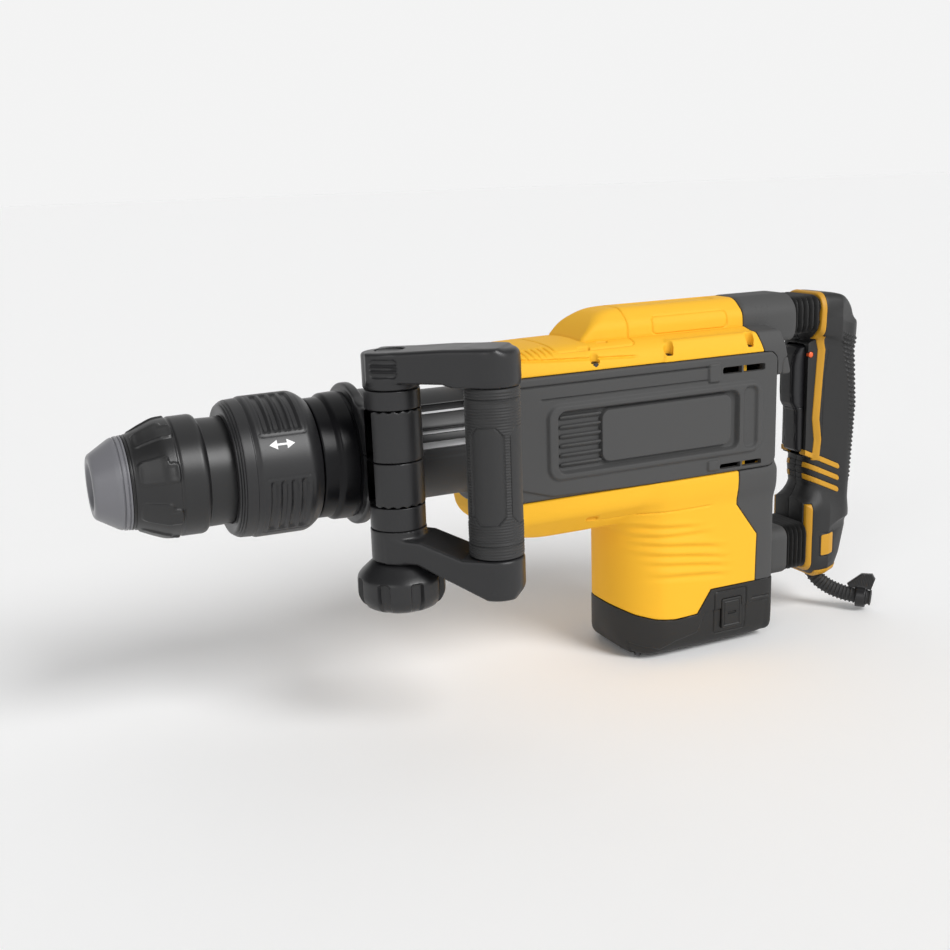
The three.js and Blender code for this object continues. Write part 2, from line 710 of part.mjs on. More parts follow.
function handleFrame() {
  const { reach, core } = GRIP;
  const topArm = prismY([
    [0, 67, 1], [reach, 63, 1], [reach + 21, 63, 2], [reach + 20, 82, 14], [reach + 4, 91, 8],
    [26, 89, 8], [0, 86.4, 1],
  ], -19.5, 19.5);
  const lowArm = prismY([
    [0, -48, 1], [0, -66, 1], [20, -66, 2], [reach - 3, -90, 8], [reach + 14, -90, 8],
    [reach + 21, -76, 8], [reach + 21, -59.6, 2], [reach - 20, -60, 4], [22, -48, 3],
  ].reverse(), -19.5, 19.5);
  const corners = [
    rodZ(63, 84, 20.5, reach, 0, 24), rodZ(-86, -59.6, 20.5, reach, 0, 24),
  ];
  const hubs = [rodZ(60.6, 86.4, COLUMN.radius), rodZ(-66, -42, COLUMN.radius)];
  const ends = join(box(-1, reach, -30, 30, -100, 100), rodZ(-100, 100, 20.6, reach, 0, 24));
  const arms = join(topArm, lowArm).intersect(ends);
  const body = join(arms, ...corners, ...hubs, rodZ(-62, 64, core, reach, 0, 24));
  return cut(body, rodZ(-80, 75, 5 + GAP, 0, 0, 16), rodZ(73, 100, 11, 0, 0, 24));
}

function gripSleeve() {
  return tubeZ(-59.3, 62.7, GRIP.radius, GRIP.core + GAP, GRIP.reach, 0);
}

function clampBolt() {
  return join(rodZ(-94, 74, 5, 0, 0, 16), rodZ(73.3, 79, 9.5, 0, 0, 6));
}

function boltCap() {
  return rodZ(79.4, 86.8, 10.7, 0, 0, 24);
}

function clampKnob() {
  const grip = turnedZ([
    [-67, 5 + GAP], [-67, 19], [-70, 24], [-76, 30], [-80, 32.5], [-94, 32.5], [-101, 28],
    [-104.5, 18], [-104.5, 0], [-96, 0], [-96, 5 + GAP], [-67, 5 + GAP],
  ]);
  const flutes = Array.from({ length: 8 }, (_, i) =>
    rodZ(-100, -79, 5, 36, 0, 8).rotate([0, 0, i * 45]),
  );
  return cut(grip, ...flutes);
}

// ---------------------------------------------------------------- assembly
function piece(name, shape, material) {
  const mesh = new THREE.Mesh(geometryOf(shape), material);
  mesh.name = name;
  return mesh;
}

function group(children, place = () => {}) {
  const made = new THREE.Group();
  made.add(...children);
  place(made);
  return made;
}

function noseGroup() {
  return group([
    piece("nose_cap", noseCap(), RUBBER),
    piece("tool_holder", toolHolder(), STEEL),
    piece("lock_sleeve", lockSleeve(), BLACK),
    piece("release_spring", coilSpring(26.5, 2.4, 86, 119.5, 3), STEEL),
    piece("angle_ring", angleRing(), BLACK),
  ]);
}

function hammerGroup() {
  return group([
    piece("barrel_casting", barrelCasting(), CAST_BLACK),
    piece("hammer_tube", hammerTube(), STEEL),
    piece("beat_piece", beatPiece(), STEEL),
    piece("ram", ram(), STEEL),
    piece("piston", piston(), STEEL),
    piece("wrist_pin", wristPin(), STEEL),
    piece("connecting_rod", connectingRod(), STEEL),
  ]);
}

function crankGroup() {
  return group([
    piece("crank_gear", crankGear(), STEEL),
    piece("crank_bearing", tubeZ(-84, -74, 19, 9 + GAP, 0, 0, 24), STEEL),
  ], (g) => g.position.set(CRANK_X, 0, 0));
}

function motorGroup() {
  return group([
    piece("rotor_shaft", rotorShaft(), STEEL),
    piece("armature_core", armatureCore(), COPPER),
    piece("commutator", commutator(), COPPER),
    piece("cooling_fan", coolingFan(), BLACK),
    piece("field_stack", fieldStack(), STEEL),
    piece("upper_bearing", ballBearing(-79, -70, 15), STEEL),
    piece("lower_bearing", ballBearing(-199, -191, 11), STEEL),
    piece("left_brush", carbonBrush(-1), CARBON),
    piece("right_brush", carbonBrush(1), CARBON),
  ], (g) => g.position.set(MOTOR.rotorX, 0, 0));
}

function housingGroup() {
  return group([
    piece("top_cover", topCover(), YELLOW),
    piece("main_housing", mainHousing(), YELLOW),
    piece("left_panel", sidePanel(-1), CHARCOAL),
    piece("right_panel", sidePanel(1), CHARCOAL),
    piece("rear_cover", rearCover(), CHARCOAL),
    piece("base_cap", baseCap(), CHARCOAL),
    piece("left_brush_cover", brushCover(-1), CHARCOAL),
    piece("right_brush_cover", brushCover(1), CHARCOAL),
  ]);
}

function rearHandleGroup() {
  return group([
    piece("rear_handle_left", handleHalf(-1), BLACK),
    piece("rear_handle_right", handleHalf(1), BLACK),
    piece("trigger", trigger(), BLACK),
    piece("switch_module", switchModule(), BLACK),
    piece("power_light", powerLight(), LENS),
    piece("upper_guide_rod", guideRod(UPPER_LINK_Z), STEEL),
    piece("lower_guide_rod", guideRod(LOWER_LINK_Z), STEEL),
    piece("upper_handle_spring", handleSpring(UPPER_LINK_Z, 601, 625), STEEL),
    piece("lower_handle_spring", handleSpring(LOWER_LINK_Z, 599, 620), STEEL),
    piece("upper_bellows", bellows(600.3, 625.7, 58, 92, 27, 5), RUBBER),
    piece("lower_bellows", bellows(598.3, 620.7, -160, -117, 27, 5), RUBBER),
    piece("cable_guard", cableGuard(), RUBBER),
    group([piece("cable_clip", cableClip(), BLACK)], (g) => {
      g.position.set(677.5, -32.3, -194.8);
      g.rotation.set(0, THREE.MathUtils.degToRad(3), THREE.MathUtils.degToRad(-48.8), "ZYX");
    }),
  ]);
}

function sideHandleGroup() {
  const turning = group([
    piece("upper_index_ring", indexRing(46.5, 60.2), BLACK),
    piece("lower_index_ring", indexRing(-41.7, -24.7), BLACK),
    piece("side_handle_frame", handleFrame(), BLACK),
    piece("side_grip", gripSleeve(), RUBBER),
    piece("clamp_bolt", clampBolt(), STEEL),
    piece("bolt_cap", boltCap(), BLACK),
    piece("clamp_knob", clampKnob(), BLACK),
  ], (g) => {
    g.position.set(COLUMN.x, COLUMN.y, 0);
    g.rotation.z = THREE.MathUtils.degToRad(GRIP.turn);
  });
  return group([
    turning,
    piece("clamp_upper", clampHalf(true), BLACK),
    piece("clamp_lower", clampHalf(false), BLACK),
    piece("clamp_back_screw", clampBackScrew(), STEEL),
  ]);
}

const root = group([
  noseGroup(), hammerGroup(), crankGroup(), motorGroup(), housingGroup(), rearHandleGroup(),
  sideHandleGroup(),
], (g) => g.position.set(-BASE_X, 0, AXIS_Z));

export default root;
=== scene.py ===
"""Looks of a demolition hammer, built round its packed mechanical frame.

Shapes are worked out in the tool's own frame, in millimetres: x runs back from the nose, z is
measured from the hammer axis, and y = 0 is the middle plane. Moulded pieces are closed surfaces
of a signed distance field, turned pieces are profiles with relief, and what repeats comes from
Geometry Nodes.
"""
import sys
import json
import logging
import math
from dataclasses import dataclass, field
from enum import Enum
from typing import Callable, Iterable, Sequence

import bmesh
import bpy
import numpy as np
from mathutils import Matrix, Vector

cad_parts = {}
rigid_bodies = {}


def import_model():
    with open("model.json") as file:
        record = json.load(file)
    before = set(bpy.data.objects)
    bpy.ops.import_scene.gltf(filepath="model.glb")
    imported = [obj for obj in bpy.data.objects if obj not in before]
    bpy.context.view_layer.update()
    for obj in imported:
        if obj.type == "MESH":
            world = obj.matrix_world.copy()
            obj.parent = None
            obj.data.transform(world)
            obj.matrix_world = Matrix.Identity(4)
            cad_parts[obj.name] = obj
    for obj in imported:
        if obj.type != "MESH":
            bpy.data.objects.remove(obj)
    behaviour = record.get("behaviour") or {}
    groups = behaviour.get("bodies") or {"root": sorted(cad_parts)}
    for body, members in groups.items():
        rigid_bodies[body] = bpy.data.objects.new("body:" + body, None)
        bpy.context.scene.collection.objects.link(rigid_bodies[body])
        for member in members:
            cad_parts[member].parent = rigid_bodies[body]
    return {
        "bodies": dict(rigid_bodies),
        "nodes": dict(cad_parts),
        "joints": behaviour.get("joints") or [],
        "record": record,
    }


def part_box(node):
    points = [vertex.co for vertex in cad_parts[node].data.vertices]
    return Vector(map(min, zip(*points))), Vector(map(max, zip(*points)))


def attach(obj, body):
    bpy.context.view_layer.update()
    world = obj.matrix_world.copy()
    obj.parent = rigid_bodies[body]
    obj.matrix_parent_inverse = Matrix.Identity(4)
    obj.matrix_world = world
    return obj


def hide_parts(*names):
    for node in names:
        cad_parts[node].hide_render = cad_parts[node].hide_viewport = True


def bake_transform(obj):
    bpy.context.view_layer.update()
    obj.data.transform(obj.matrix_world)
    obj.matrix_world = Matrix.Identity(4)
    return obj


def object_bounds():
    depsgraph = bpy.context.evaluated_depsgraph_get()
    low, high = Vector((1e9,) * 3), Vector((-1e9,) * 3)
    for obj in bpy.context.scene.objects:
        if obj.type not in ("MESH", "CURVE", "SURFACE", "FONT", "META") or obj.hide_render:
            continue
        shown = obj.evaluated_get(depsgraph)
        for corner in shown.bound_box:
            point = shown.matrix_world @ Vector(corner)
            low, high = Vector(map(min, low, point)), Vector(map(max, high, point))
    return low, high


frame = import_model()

log = logging.getLogger("hammer")

CAD_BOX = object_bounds()
MM = 0.001

# The tool frame's origin in the row frame: the nose's front face, on the hammer axis.
AXIS_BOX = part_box("hammer_tube")
ORIGIN = np.array([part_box("nose_cap")[0].x, 0.0, (AXIS_BOX[0].z + AXIS_BOX[1].z) / 2])

Array = np.ndarray
Pair = tuple[float, float]
Spot = tuple[float, float, float]
Field = Callable[[Array, Array, Array], Array]
Outline = Callable[[Array, Array], Array]


# ---------------------------------------------------------------- finishes
class Surface(Enum):
    """What kind of surface a finish has."""

    MOULDED = "moulded"
    RUBBER = "rubber"
    METAL = "metal"
    LENS = "lens"


@dataclass(frozen=True)
class Finish:
    """A procedural finish: its colour, sheen, grain and wear.

    Attributes:
        name: the material's name.
        colour: linear base colour.
        surface: the kind of surface.
        roughness: middle roughness.
        grain_mm: size of the fine grain.
        grain: depth of the fine grain, in millimetres.
        mottle: share by which the colour drifts over the piece.
        wear: how much edges lighten.
        coat: clear coat weight.
        specular: strength of the plain gloss.
        slot: the record's material slot; not used.
    """

    name: str
    colour: tuple[float, float, float]
    slot: str
    surface: Surface = Surface.MOULDED
    roughness: float = 0.5
    grain_mm: float = 0.7
    grain: float = 0.05
    mottle: float = 0.08
    wear: float = 0.25
    coat: float = 0.0
    specular: float = 0.5

    def material(self) -> bpy.types.Material:
        """The finish's material, made once.

        Returns:
            The node material.
        """
        made = bpy.data.materials.get(self.name)
        return made or self._build()

    def _build(self) -> bpy.types.Material:
        """Builds the material's nodes.

        Returns:
            The new material.
        """
        made = bpy.data.materials.new(self.name)
        made.use_nodes = True
        nodes = made.node_tree.nodes
        links = made.node_tree.links
        shader = nodes["Principled BSDF"]
        shader.inputs["Metallic"].default_value = 1.0 if self.surface is Surface.METAL else 0.0
        shader.inputs["Coat Weight"].default_value = self.coat
        shader.inputs["Specular IOR Level"].default_value = self.specular
        shader.inputs["Coat Roughness"].default_value = 0.06
        if self.surface is Surface.RUBBER:
            shader.inputs["Sheen Weight"].default_value = 0.08
            shader.inputs["Sheen Roughness"].default_value = 0.5
        if self.surface is Surface.LENS:
            shader.inputs["Emission Color"].default_value = (*self.colour, 1)
            shader.inputs["Emission Strength"].default_value = 0.6
        place = nodes.new("ShaderNodeTexCoord").outputs["Object"]
        if self.surface is Surface.METAL:
            place = self._stretched(nodes, links, place)
        cloud = self._noise(nodes, links, place, 28.0, 3.0)
        speck = self._noise(nodes, links, place, 420.0, 2.0)
        tint = self._mix_drift(nodes, links, cloud)
        worn = self._edge_wear(nodes, links, tint, speck)
        links.new(worn, shader.inputs["Base Color"])
        rough = nodes.new("ShaderNodeMapRange")
        rough.inputs["To Min"].default_value = self.roughness - 0.07
        rough.inputs["To Max"].default_value = self.roughness + 0.09
        links.new(cloud, rough.inputs["Value"])
        links.new(rough.outputs["Result"], shader.inputs["Roughness"])
        fine = self._noise(nodes, links, place, 1.0 / (self.grain_mm * MM), 2.0)
        bump = nodes.new("ShaderNodeBump")
        bump.inputs["Strength"].default_value = 0.6
        bump.inputs["Distance"].default_value = self.grain * MM
        links.new(fine, bump.inputs["Height"])
        links.new(bump.outputs["Normal"], shader.inputs["Normal"])
        return made

    def _stretched(
        self, nodes: bpy.types.Nodes, links: bpy.types.NodeLinks, place: bpy.types.NodeSocket
    ) -> bpy.types.NodeSocket:
        """Object coordinates drawn out along X, for ground metal.

        Args:
            nodes: the tree's nodes.
            links: the tree's links.
            place: the plain coordinates.

        Returns:
            The stretched coordinates.
        """
        mapping = nodes.new("ShaderNodeMapping")
        mapping.inputs["Scale"].default_value = (0.12, 1.0, 1.0)
        links.new(place, mapping.inputs["Vector"])
        return mapping.outputs["Vector"]

    def _noise(
        self,
        nodes: bpy.types.Nodes,
        links: bpy.types.NodeLinks,
        place: bpy.types.NodeSocket,
        scale: float,
        detail: float,
    ) -> bpy.types.NodeSocket:
        """A noise texture's factor.

        Args:
            nodes: the tree's nodes.
            links: the tree's links.
            place: where the noise is read.
            scale: cycles per metre.
            detail: octaves.

        Returns:
            The factor socket.
        """
        noise = nodes.new("ShaderNodeTexNoise")
        noise.inputs["Scale"].default_value = scale
        noise.inputs["Detail"].default_value = detail
        links.new(place, noise.inputs["Vector"])
        return noise.outputs["Fac"]

    def _mix_drift(
        self, nodes: bpy.types.Nodes, links: bpy.types.NodeLinks, cloud: bpy.types.NodeSocket
    ) -> bpy.types.NodeSocket:
        """The base colour, drifting a little lighter and darker.

        Args:
            nodes: the tree's nodes.
            links: the tree's links.
            cloud: slow noise.

        Returns:
            The colour socket.
        """
        mix = nodes.new("ShaderNodeMix")
        mix.data_type = "RGBA"
        dark = [c * (1 - self.mottle) for c in self.colour]
        light = [min(1.0, c * (1 + self.mottle)) for c in self.colour]
        mix.inputs["A"].default_value = (*dark, 1)
        mix.inputs["B"].default_value = (*light, 1)
        links.new(cloud, mix.inputs["Factor"])
        return mix.outputs["Result"]

    def _edge_wear(
        self,
        nodes: bpy.types.Nodes,
        links: bpy.types.NodeLinks,
        tint: bpy.types.NodeSocket,
        speck: bpy.types.NodeSocket,
    ) -> bpy.types.NodeSocket:
        """Lightens raised edges unevenly, as handling does.

        Args:
            nodes: the tree's nodes.
            links: the tree's links.
            tint: the colour so far.
            speck: fine noise that breaks the wear up.

        Returns:
            The worn colour socket.
        """
        edge = nodes.new("ShaderNodeMapRange")
        edge.inputs["From Min"].default_value = 0.53
        edge.inputs["From Max"].default_value = 0.66
        edge.inputs["To Max"].default_value = self.wear
        links.new(nodes.new("ShaderNodeNewGeometry").outputs["Pointiness"], edge.inputs["Value"])
        broken = nodes.new("ShaderNodeMath")
        broken.operation = "MULTIPLY"
        links.new(edge.outputs["Result"], broken.inputs[0])
        links.new(speck, broken.inputs[1])
        mix = nodes.new("ShaderNodeMix")
        mix.data_type = "RGBA"
        worn = [min(1.0, c * 1.7 + 0.03) for c in self.colour]
        mix.inputs["B"].default_value = (*worn, 1)
        links.new(broken.outputs["Value"], mix.inputs["Factor"])
        links.new(tint, mix.inputs["A"])
        return mix.outputs["Result"]


YELLOW = Finish(
    "yellow_shell", (0.41, 0.183, 0.001), "yellow_shell", roughness=0.46, grain=0.03, specular=0.16
)
CHARCOAL = Finish(
    "charcoal_shell", (0.0105, 0.0101, 0.0098), "charcoal_shell", roughness=0.45, specular=0.36
)
CHARCOAL_DARK = Finish(
    "charcoal_dark", (0.0085, 0.0082, 0.008), "charcoal_shell", roughness=0.48
)
NYLON = Finish("black_nylon", (0.013, 0.013, 0.014), "black_plastic", roughness=0.36)
SLEEVE_BLACK = Finish("sleeve_black", (0.012, 0.012, 0.0125), "black_plastic", roughness=0.36)
HANDLE_BLACK = Finish("handle_black", (0.009, 0.009, 0.0092), "black_plastic", roughness=0.5)
TRIGGER_BLACK = Finish("trigger_black", (0.012, 0.012, 0.014), "black_plastic", roughness=0.4)
YELLOW_INLAY = Finish("yellow_inlay", (0.55, 0.27, 0.008), "yellow_shell", roughness=0.5)
# Nose cap grey: partly the rubber's own grey, partly lifted to paint the highlight on its lit front
# cone.
CAP_RUBBER_PAINTED_HIGHLIGHT = Finish(
    "cap_rubber", (0.15, 0.15, 0.163), "soft_rubber", Surface.RUBBER, roughness=0.34, grain=0.02
)
GRIP_RUBBER = Finish(
    "grip_rubber", (0.018, 0.018, 0.0185), "soft_rubber", Surface.RUBBER, roughness=0.6, grain=0.08
)
GAITER_RUBBER = Finish(
    "gaiter_rubber", (0.012, 0.012, 0.012), "soft_rubber", Surface.RUBBER, roughness=0.42
)
GLOSS_BLACK = Finish(
    "gloss_black", (0.004, 0.004, 0.005), "black_casting", roughness=0.3, grain=0.004, specular=0.2
)
SATIN_BLACK = Finish("satin_black", (0.007, 0.007, 0.0075), "black_casting", roughness=0.42)
STEEL = Finish(
    "ground_steel", (0.5, 0.5, 0.52), "steel", Surface.METAL, roughness=0.3, grain=0.01, wear=0.1
)
DARK_STEEL = Finish(
    "oiled_steel", (0.1, 0.1, 0.105), "steel", Surface.METAL, roughness=0.38, grain=0.01
)
COPPER = Finish("wound_copper", (0.42, 0.17, 0.07), "copper_winding", Surface.METAL, roughness=0.4)
# Near-white tube: painted light, standing in for the bright backdrop seen through the barrel neck's
# slots.
TUBE_PAINTED_LIGHT = Finish("tube_painted_backdrop_light", (0.84, 0.84, 0.85), "steel", roughness=0.35, wear=0.0)
CARBON = Finish("pressed_carbon", (0.02, 0.02, 0.02), "carbon", roughness=0.7)
AMBER = Finish("amber_lens", (0.9, 0.16, 0.04), "amber_lens", Surface.LENS, roughness=0.15)
MARK_WHITE = Finish("white_mark", (0.85, 0.85, 0.85), "black_plastic", roughness=0.5, wear=0.0)
FLOOR_PALE = Finish("floor_pale", (0.955, 0.955, 0.955), "", roughness=0.9, mottle=0.004, wear=0.0)


# ---------------------------------------------------------------- distance fields
def smooth_max(a: Array, b: Array, radius: float) -> Array:
    """Intersection of two fields with a rounded edge.

    Args:
        a: first field.
        b: second field.
        radius: size of the rounding.

    Returns:
        The joint field.
    """
    if radius <= 0:
        return np.maximum(a, b)
    close = np.maximum(radius - np.abs(a - b), 0.0)
    return np.maximum(a, b) + close * close / (4.0 * radius)


def smooth_min(a: Array, b: Array, radius: float) -> Array:
    """Union of two fields with a fillet where they meet.

    Args:
        a: first field.
        b: second field.
        radius: size of the fillet.

    Returns:
        The joint field.
    """
    return -smooth_max(-a, -b, radius)


def span(u: Array, low: float, high: float) -> Array:
    """Field of the slab between two values of one coordinate."""
    return np.maximum(low - u, u - high)


def convex(u: Array, v: Array, corners: Sequence[Pair], radius: float) -> Array:
    """Field of a convex outline with rounded corners, in two coordinates.

    Args:
        u: first coordinate.
        v: second coordinate.
        corners: the outline's corners in order.
        radius: size of the corners' rounding.

    Returns:
        The field, negative inside.
    """
    middle = np.mean(corners, axis=0)
    total = None
    for (u0, v0), (u1, v1) in zip(corners, [*corners[1:], corners[0]]):
        length = math.hypot(u1 - u0, v1 - v0)
        nu, nv = (v1 - v0) / length, -(u1 - u0) / length
        if (middle[0] - u0) * nu + (middle[1] - v0) * nv > 0:
            nu, nv = -nu, -nv
        edge = (u - u0) * nu + (v - v0) * nv
        total = edge if total is None else smooth_max(total, edge, radius)
    return total


def polygon(u: Array, v: Array, corners: Sequence[Pair]) -> Array:
    """Signed distance to any closed outline, in two coordinates.

    Args:
        u: first coordinate.
        v: second coordinate.
        corners: the outline's corners in order.

    Returns:
        The distance, negative inside.
    """
    u, v = np.broadcast_arrays(u, v)
    nearest = np.full(u.shape, np.inf)
    inside = np.zeros(u.shape, bool)
    for (u0, v0), (u1, v1) in zip(corners, [*corners[1:], corners[0]]):
        du, dv = u1 - u0, v1 - v0
        along = np.clip(((u - u0) * du + (v - v0) * dv) / (du * du + dv * dv), 0.0, 1.0)
        gap = np.hypot(u - u0 - du * along, v - v0 - dv * along)
        nearest = np.minimum(nearest, gap)
        if v0 != v1:
            crosses = ((v0 > v) != (v1 > v)) & (u < du * (v - v0) / dv + u0)
            inside ^= crosses
    return np.where(inside, -nearest, nearest)


def rounded_box(u: Array, v: Array, box: tuple[float, float, float, float], radius: float) -> Array:
    """Signed distance to a rounded rectangle.

    Args:
        u: first coordinate.
        v: second coordinate.
        box: low u, high u, low v, high v.
        radius: corner radius.

    Returns:
        The distance, negative inside.
    """
    low_u, high_u, low_v, high_v = box
    du = np.abs(u - (low_u + high_u) / 2) - (high_u - low_u) / 2 + radius
    dv = np.abs(v - (low_v + high_v) / 2) - (high_v - low_v) / 2 + radius
    outer = np.hypot(np.maximum(du, 0), np.maximum(dv, 0))
    return outer + np.minimum(np.maximum(du, dv), 0) - radius


def step_up(distance: Array, width: float) -> Array:
    """0 outside a field and 1 inside, easing over a width at its edge."""
    share = np.clip(0.5 - distance / width, 0.0, 1.0)
    return share * share * (3 - 2 * share)


def groove(distance: Array, width: float) -> Array:
    """1 on a field's edge line, falling to 0 half a width away from it."""
    share = np.clip(1 - np.abs(distance) * 2 / width, 0.0, 1.0)
    return share * share * (3 - 2 * share)


# ---------------------------------------------------------------- meshes
CELL_CORNERS = [(i, j, k) for i in (0, 1) for j in (0, 1) for k in (0, 1)]


def surface_net(
    shape: Field, low: Sequence[float], high: Sequence[float], step: float
) -> tuple[Array, Array]:
    """Closed quads over a field's zero surface.

    Args:
        shape: the field.
        low: lowest corner of the space looked at.
        high: highest corner of the space looked at.
        step: spacing of the samples.

    Returns:
        Points and quads.
    """
    axes = [np.arange(a - 2 * step, b + 2.5 * step, step) for a, b in zip(low, high)]
    x, y, z = np.meshgrid(*axes, indexing="ij", sparse=True)
    values = np.broadcast_to(shape(x, y, z), [len(a) for a in axes]).astype(np.float32)
    cells = tuple(n - 1 for n in values.shape)
    inside = values < 0
    count = np.zeros(cells, np.uint8)
    for i, j, k in CELL_CORNERS:
        count += inside[i : i + cells[0], j : j + cells[1], k : k + cells[2]]
    active = (count > 0) & (count < 8)
    index = np.argwhere(active)
    number = np.full(cells, -1, np.int64)
    number[active] = np.arange(len(index))
    total = np.zeros((len(index), 3))
    hits = np.zeros(len(index))
    for corner in CELL_CORNERS:
        for axis in range(3):
            if corner[axis]:
                continue
            other = list(corner)
            other[axis] = 1
            first = values[tuple((index + corner).T)]
            second = values[tuple((index + other).T)]
            cut = (first < 0) != (second < 0)
            share = np.where(cut, first / np.where(cut, first - second, 1), 0)
            spot = np.tile(np.array(corner, float), (len(index), 1))
            spot[:, axis] += share
            total += spot * cut[:, None]
            hits += cut
    start = np.array([a[0] for a in axes])
    points = start + (index + total / hits[:, None]) * step
    quads = [_net_quads(inside, number, axis) for axis in range(3)]
    return _settled(shape, points, step), np.concatenate(quads)


def _net_quads(inside: Array, number: Array, axis: int) -> Array:
    """Quads across the sample edges along one axis.

    Args:
        inside: which samples are inside.
        number: each active cell's point.
        axis: the edges' direction.

    Returns:
        The quads, facing out.
    """
    b, c = (axis + 1) % 3, (axis + 2) % 3
    first = np.take(inside, range(inside.shape[axis] - 1), axis)
    second = np.take(inside, range(1, inside.shape[axis]), axis)
    places = np.argwhere(first != second)
    places = places[(places[:, b] > 0) & (places[:, c] > 0)]
    limit = np.array(number.shape)
    places = places[(places[:, b] < limit[b]) & (places[:, c] < limit[c])]
    leaving = first[tuple(places.T)]
    ring = []
    for back_b, back_c in ((0, 0), (1, 0), (1, 1), (0, 1)):
        cell = places.copy()
        cell[:, b] -= back_b
        cell[:, c] -= back_c
        ring.append(number[tuple(cell.T)])
    quads = np.stack(ring, 1)
    return np.where(leaving[:, None], quads, quads[:, ::-1])


def _settled(shape: Field, points: Array, step: float) -> Array:
    """Points moved onto the field's zero surface.

    Args:
        shape: the field.
        points: points near the surface.
        step: spacing of the samples.

    Returns:
        The moved points.
    """
    reach = 0.4 * step
    for _ in range(2):
        here = shape(*points.T)
        slope = np.empty_like(points)
        for axis in range(3):
            shift = np.zeros(3)
            shift[axis] = reach
            ahead = shape(*(points + shift).T)
            behind = shape(*(points - shift).T)
            slope[:, axis] = (ahead - behind) / (2 * reach)
        steepness = np.maximum((slope**2).sum(1), 0.25)
        move = np.clip(here / steepness, -reach, reach)
        points = points - slope * move[:, None]
    return points


def to_row(points: Array) -> Array:
    """Tool-frame millimetres as metres in the row frame."""
    return np.asarray(points, float) * MM + ORIGIN


def mesh_object(name: str, points: Array, faces: Iterable[Sequence[int]]) -> bpy.types.Object:
    """A mesh object from tool-frame points.

    Args:
        name: the piece's name.
        points: points in tool-frame millimetres.
        faces: faces as point numbers.

    Returns:
        The object, at the origin.
    """
    mesh = bpy.data.meshes.new(name)
    listed = faces.tolist() if isinstance(faces, np.ndarray) else list(faces)
    mesh.from_pydata(to_row(points).tolist(), [], listed)
    mesh.update()
    made = bpy.data.objects.new(name, mesh)
    bpy.context.scene.collection.objects.link(made)
    return made


def shaded(made: bpy.types.Object, finish: Finish, angle: float = 35.0) -> bpy.types.Object:
    """Gives a piece its finish and smooth shading that breaks at sharp edges.

    Args:
        made: the piece.
        finish: its finish.
        angle: edges sharper than this stay sharp, in degrees.

    Returns:
        The piece.
    """
    made.data.materials.clear()
    made.data.materials.append(finish.material())
    made.data.shade_smooth()
    made.data.set_sharp_from_angle(angle=math.radians(angle))
    return made


def frozen(made: bpy.types.Object) -> bpy.types.Object:
    """Turns an object's modifiers into plain mesh.

    Args:
        made: the object.

    Returns:
        The object, with no modifiers.
    """
    bpy.context.view_layer.update()
    graph = bpy.context.evaluated_depsgraph_get()
    mesh = bpy.data.meshes.new_from_object(made.evaluated_get(graph))
    made.modifiers.clear()
    made.data = mesh
    return made


def thinned(made: bpy.types.Object, share: float) -> bpy.types.Object:
    """Keeps a share of a dense mesh's faces.

    Args:
        made: the object.
        share: share of faces kept.

    Returns:
        The object.
    """
    if share < 1:
        made.modifiers.new("thin", "DECIMATE").ratio = share
        frozen(made)
    return made


def moulded(
    name: str,
    shape: Field,
    low: Sequence[float],
    high: Sequence[float],
    step: float,
    finish: Finish,
    share: float = 1.0,
    turn: Matrix | None = None,
) -> bpy.types.Object:
    """A moulded piece from its distance field.

    Args:
        name: the piece's name.
        shape: the field.
        low: lowest corner of the space it fills.
        high: highest corner of the space it fills.
        step: spacing of its points, in millimetres.
        finish: its finish.
        share: share of faces kept afterwards.
        turn: where the field's own frame lies in the tool frame.

    Returns:
        The piece.
    """
    points, quads = surface_net(shape, low, high, step * (1.0))
    if turn is not None:
        points = points @ np.array(turn.to_3x3()).T + np.array(turn.translation)
    made = mesh_object(name, points, quads)
    thinned(made, share)
    log.info("%s: %d faces", name, len(made.data.polygons))
    return shaded(made, finish)


def soft_outline(corners: Sequence[tuple[float, float, float]], spacing: float) -> list[Pair]:
    """A closed outline with rounded corners, as evenly spaced points.

    Args:
        corners: a, b and corner radius of each corner.
        spacing: greatest distance between points.

    Returns:
        The points.
    """
    corner_runs = []
    count = len(corners)
    for i, (a, b, wanted) in enumerate(corners):
        here = Vector((a, b))
        before = Vector(corners[i - 1][:2]) - here
        after = Vector(corners[(i + 1) % count][:2]) - here
        radius = min(wanted, before.length * 0.48, after.length * 0.48)
        start = here + before.normalized() * radius
        end = here + after.normalized() * radius
        bends = 1 if radius < 0.05 else 6
        shares = [0.5] if bends == 1 else [n / (bends - 1) for n in range(bends)]
        for t in shares:
            corner_runs.append(start * (1 - t) ** 2 + here * 2 * t * (1 - t) + end * t * t)
    points = []
    for i, here in enumerate(corner_runs):
        there = corner_runs[(i + 1) % len(corner_runs)]
        pieces = max(1, math.ceil((there - here).length / spacing))
        points += [tuple(here.lerp(there, n / pieces)) for n in range(pieces)]
    return points


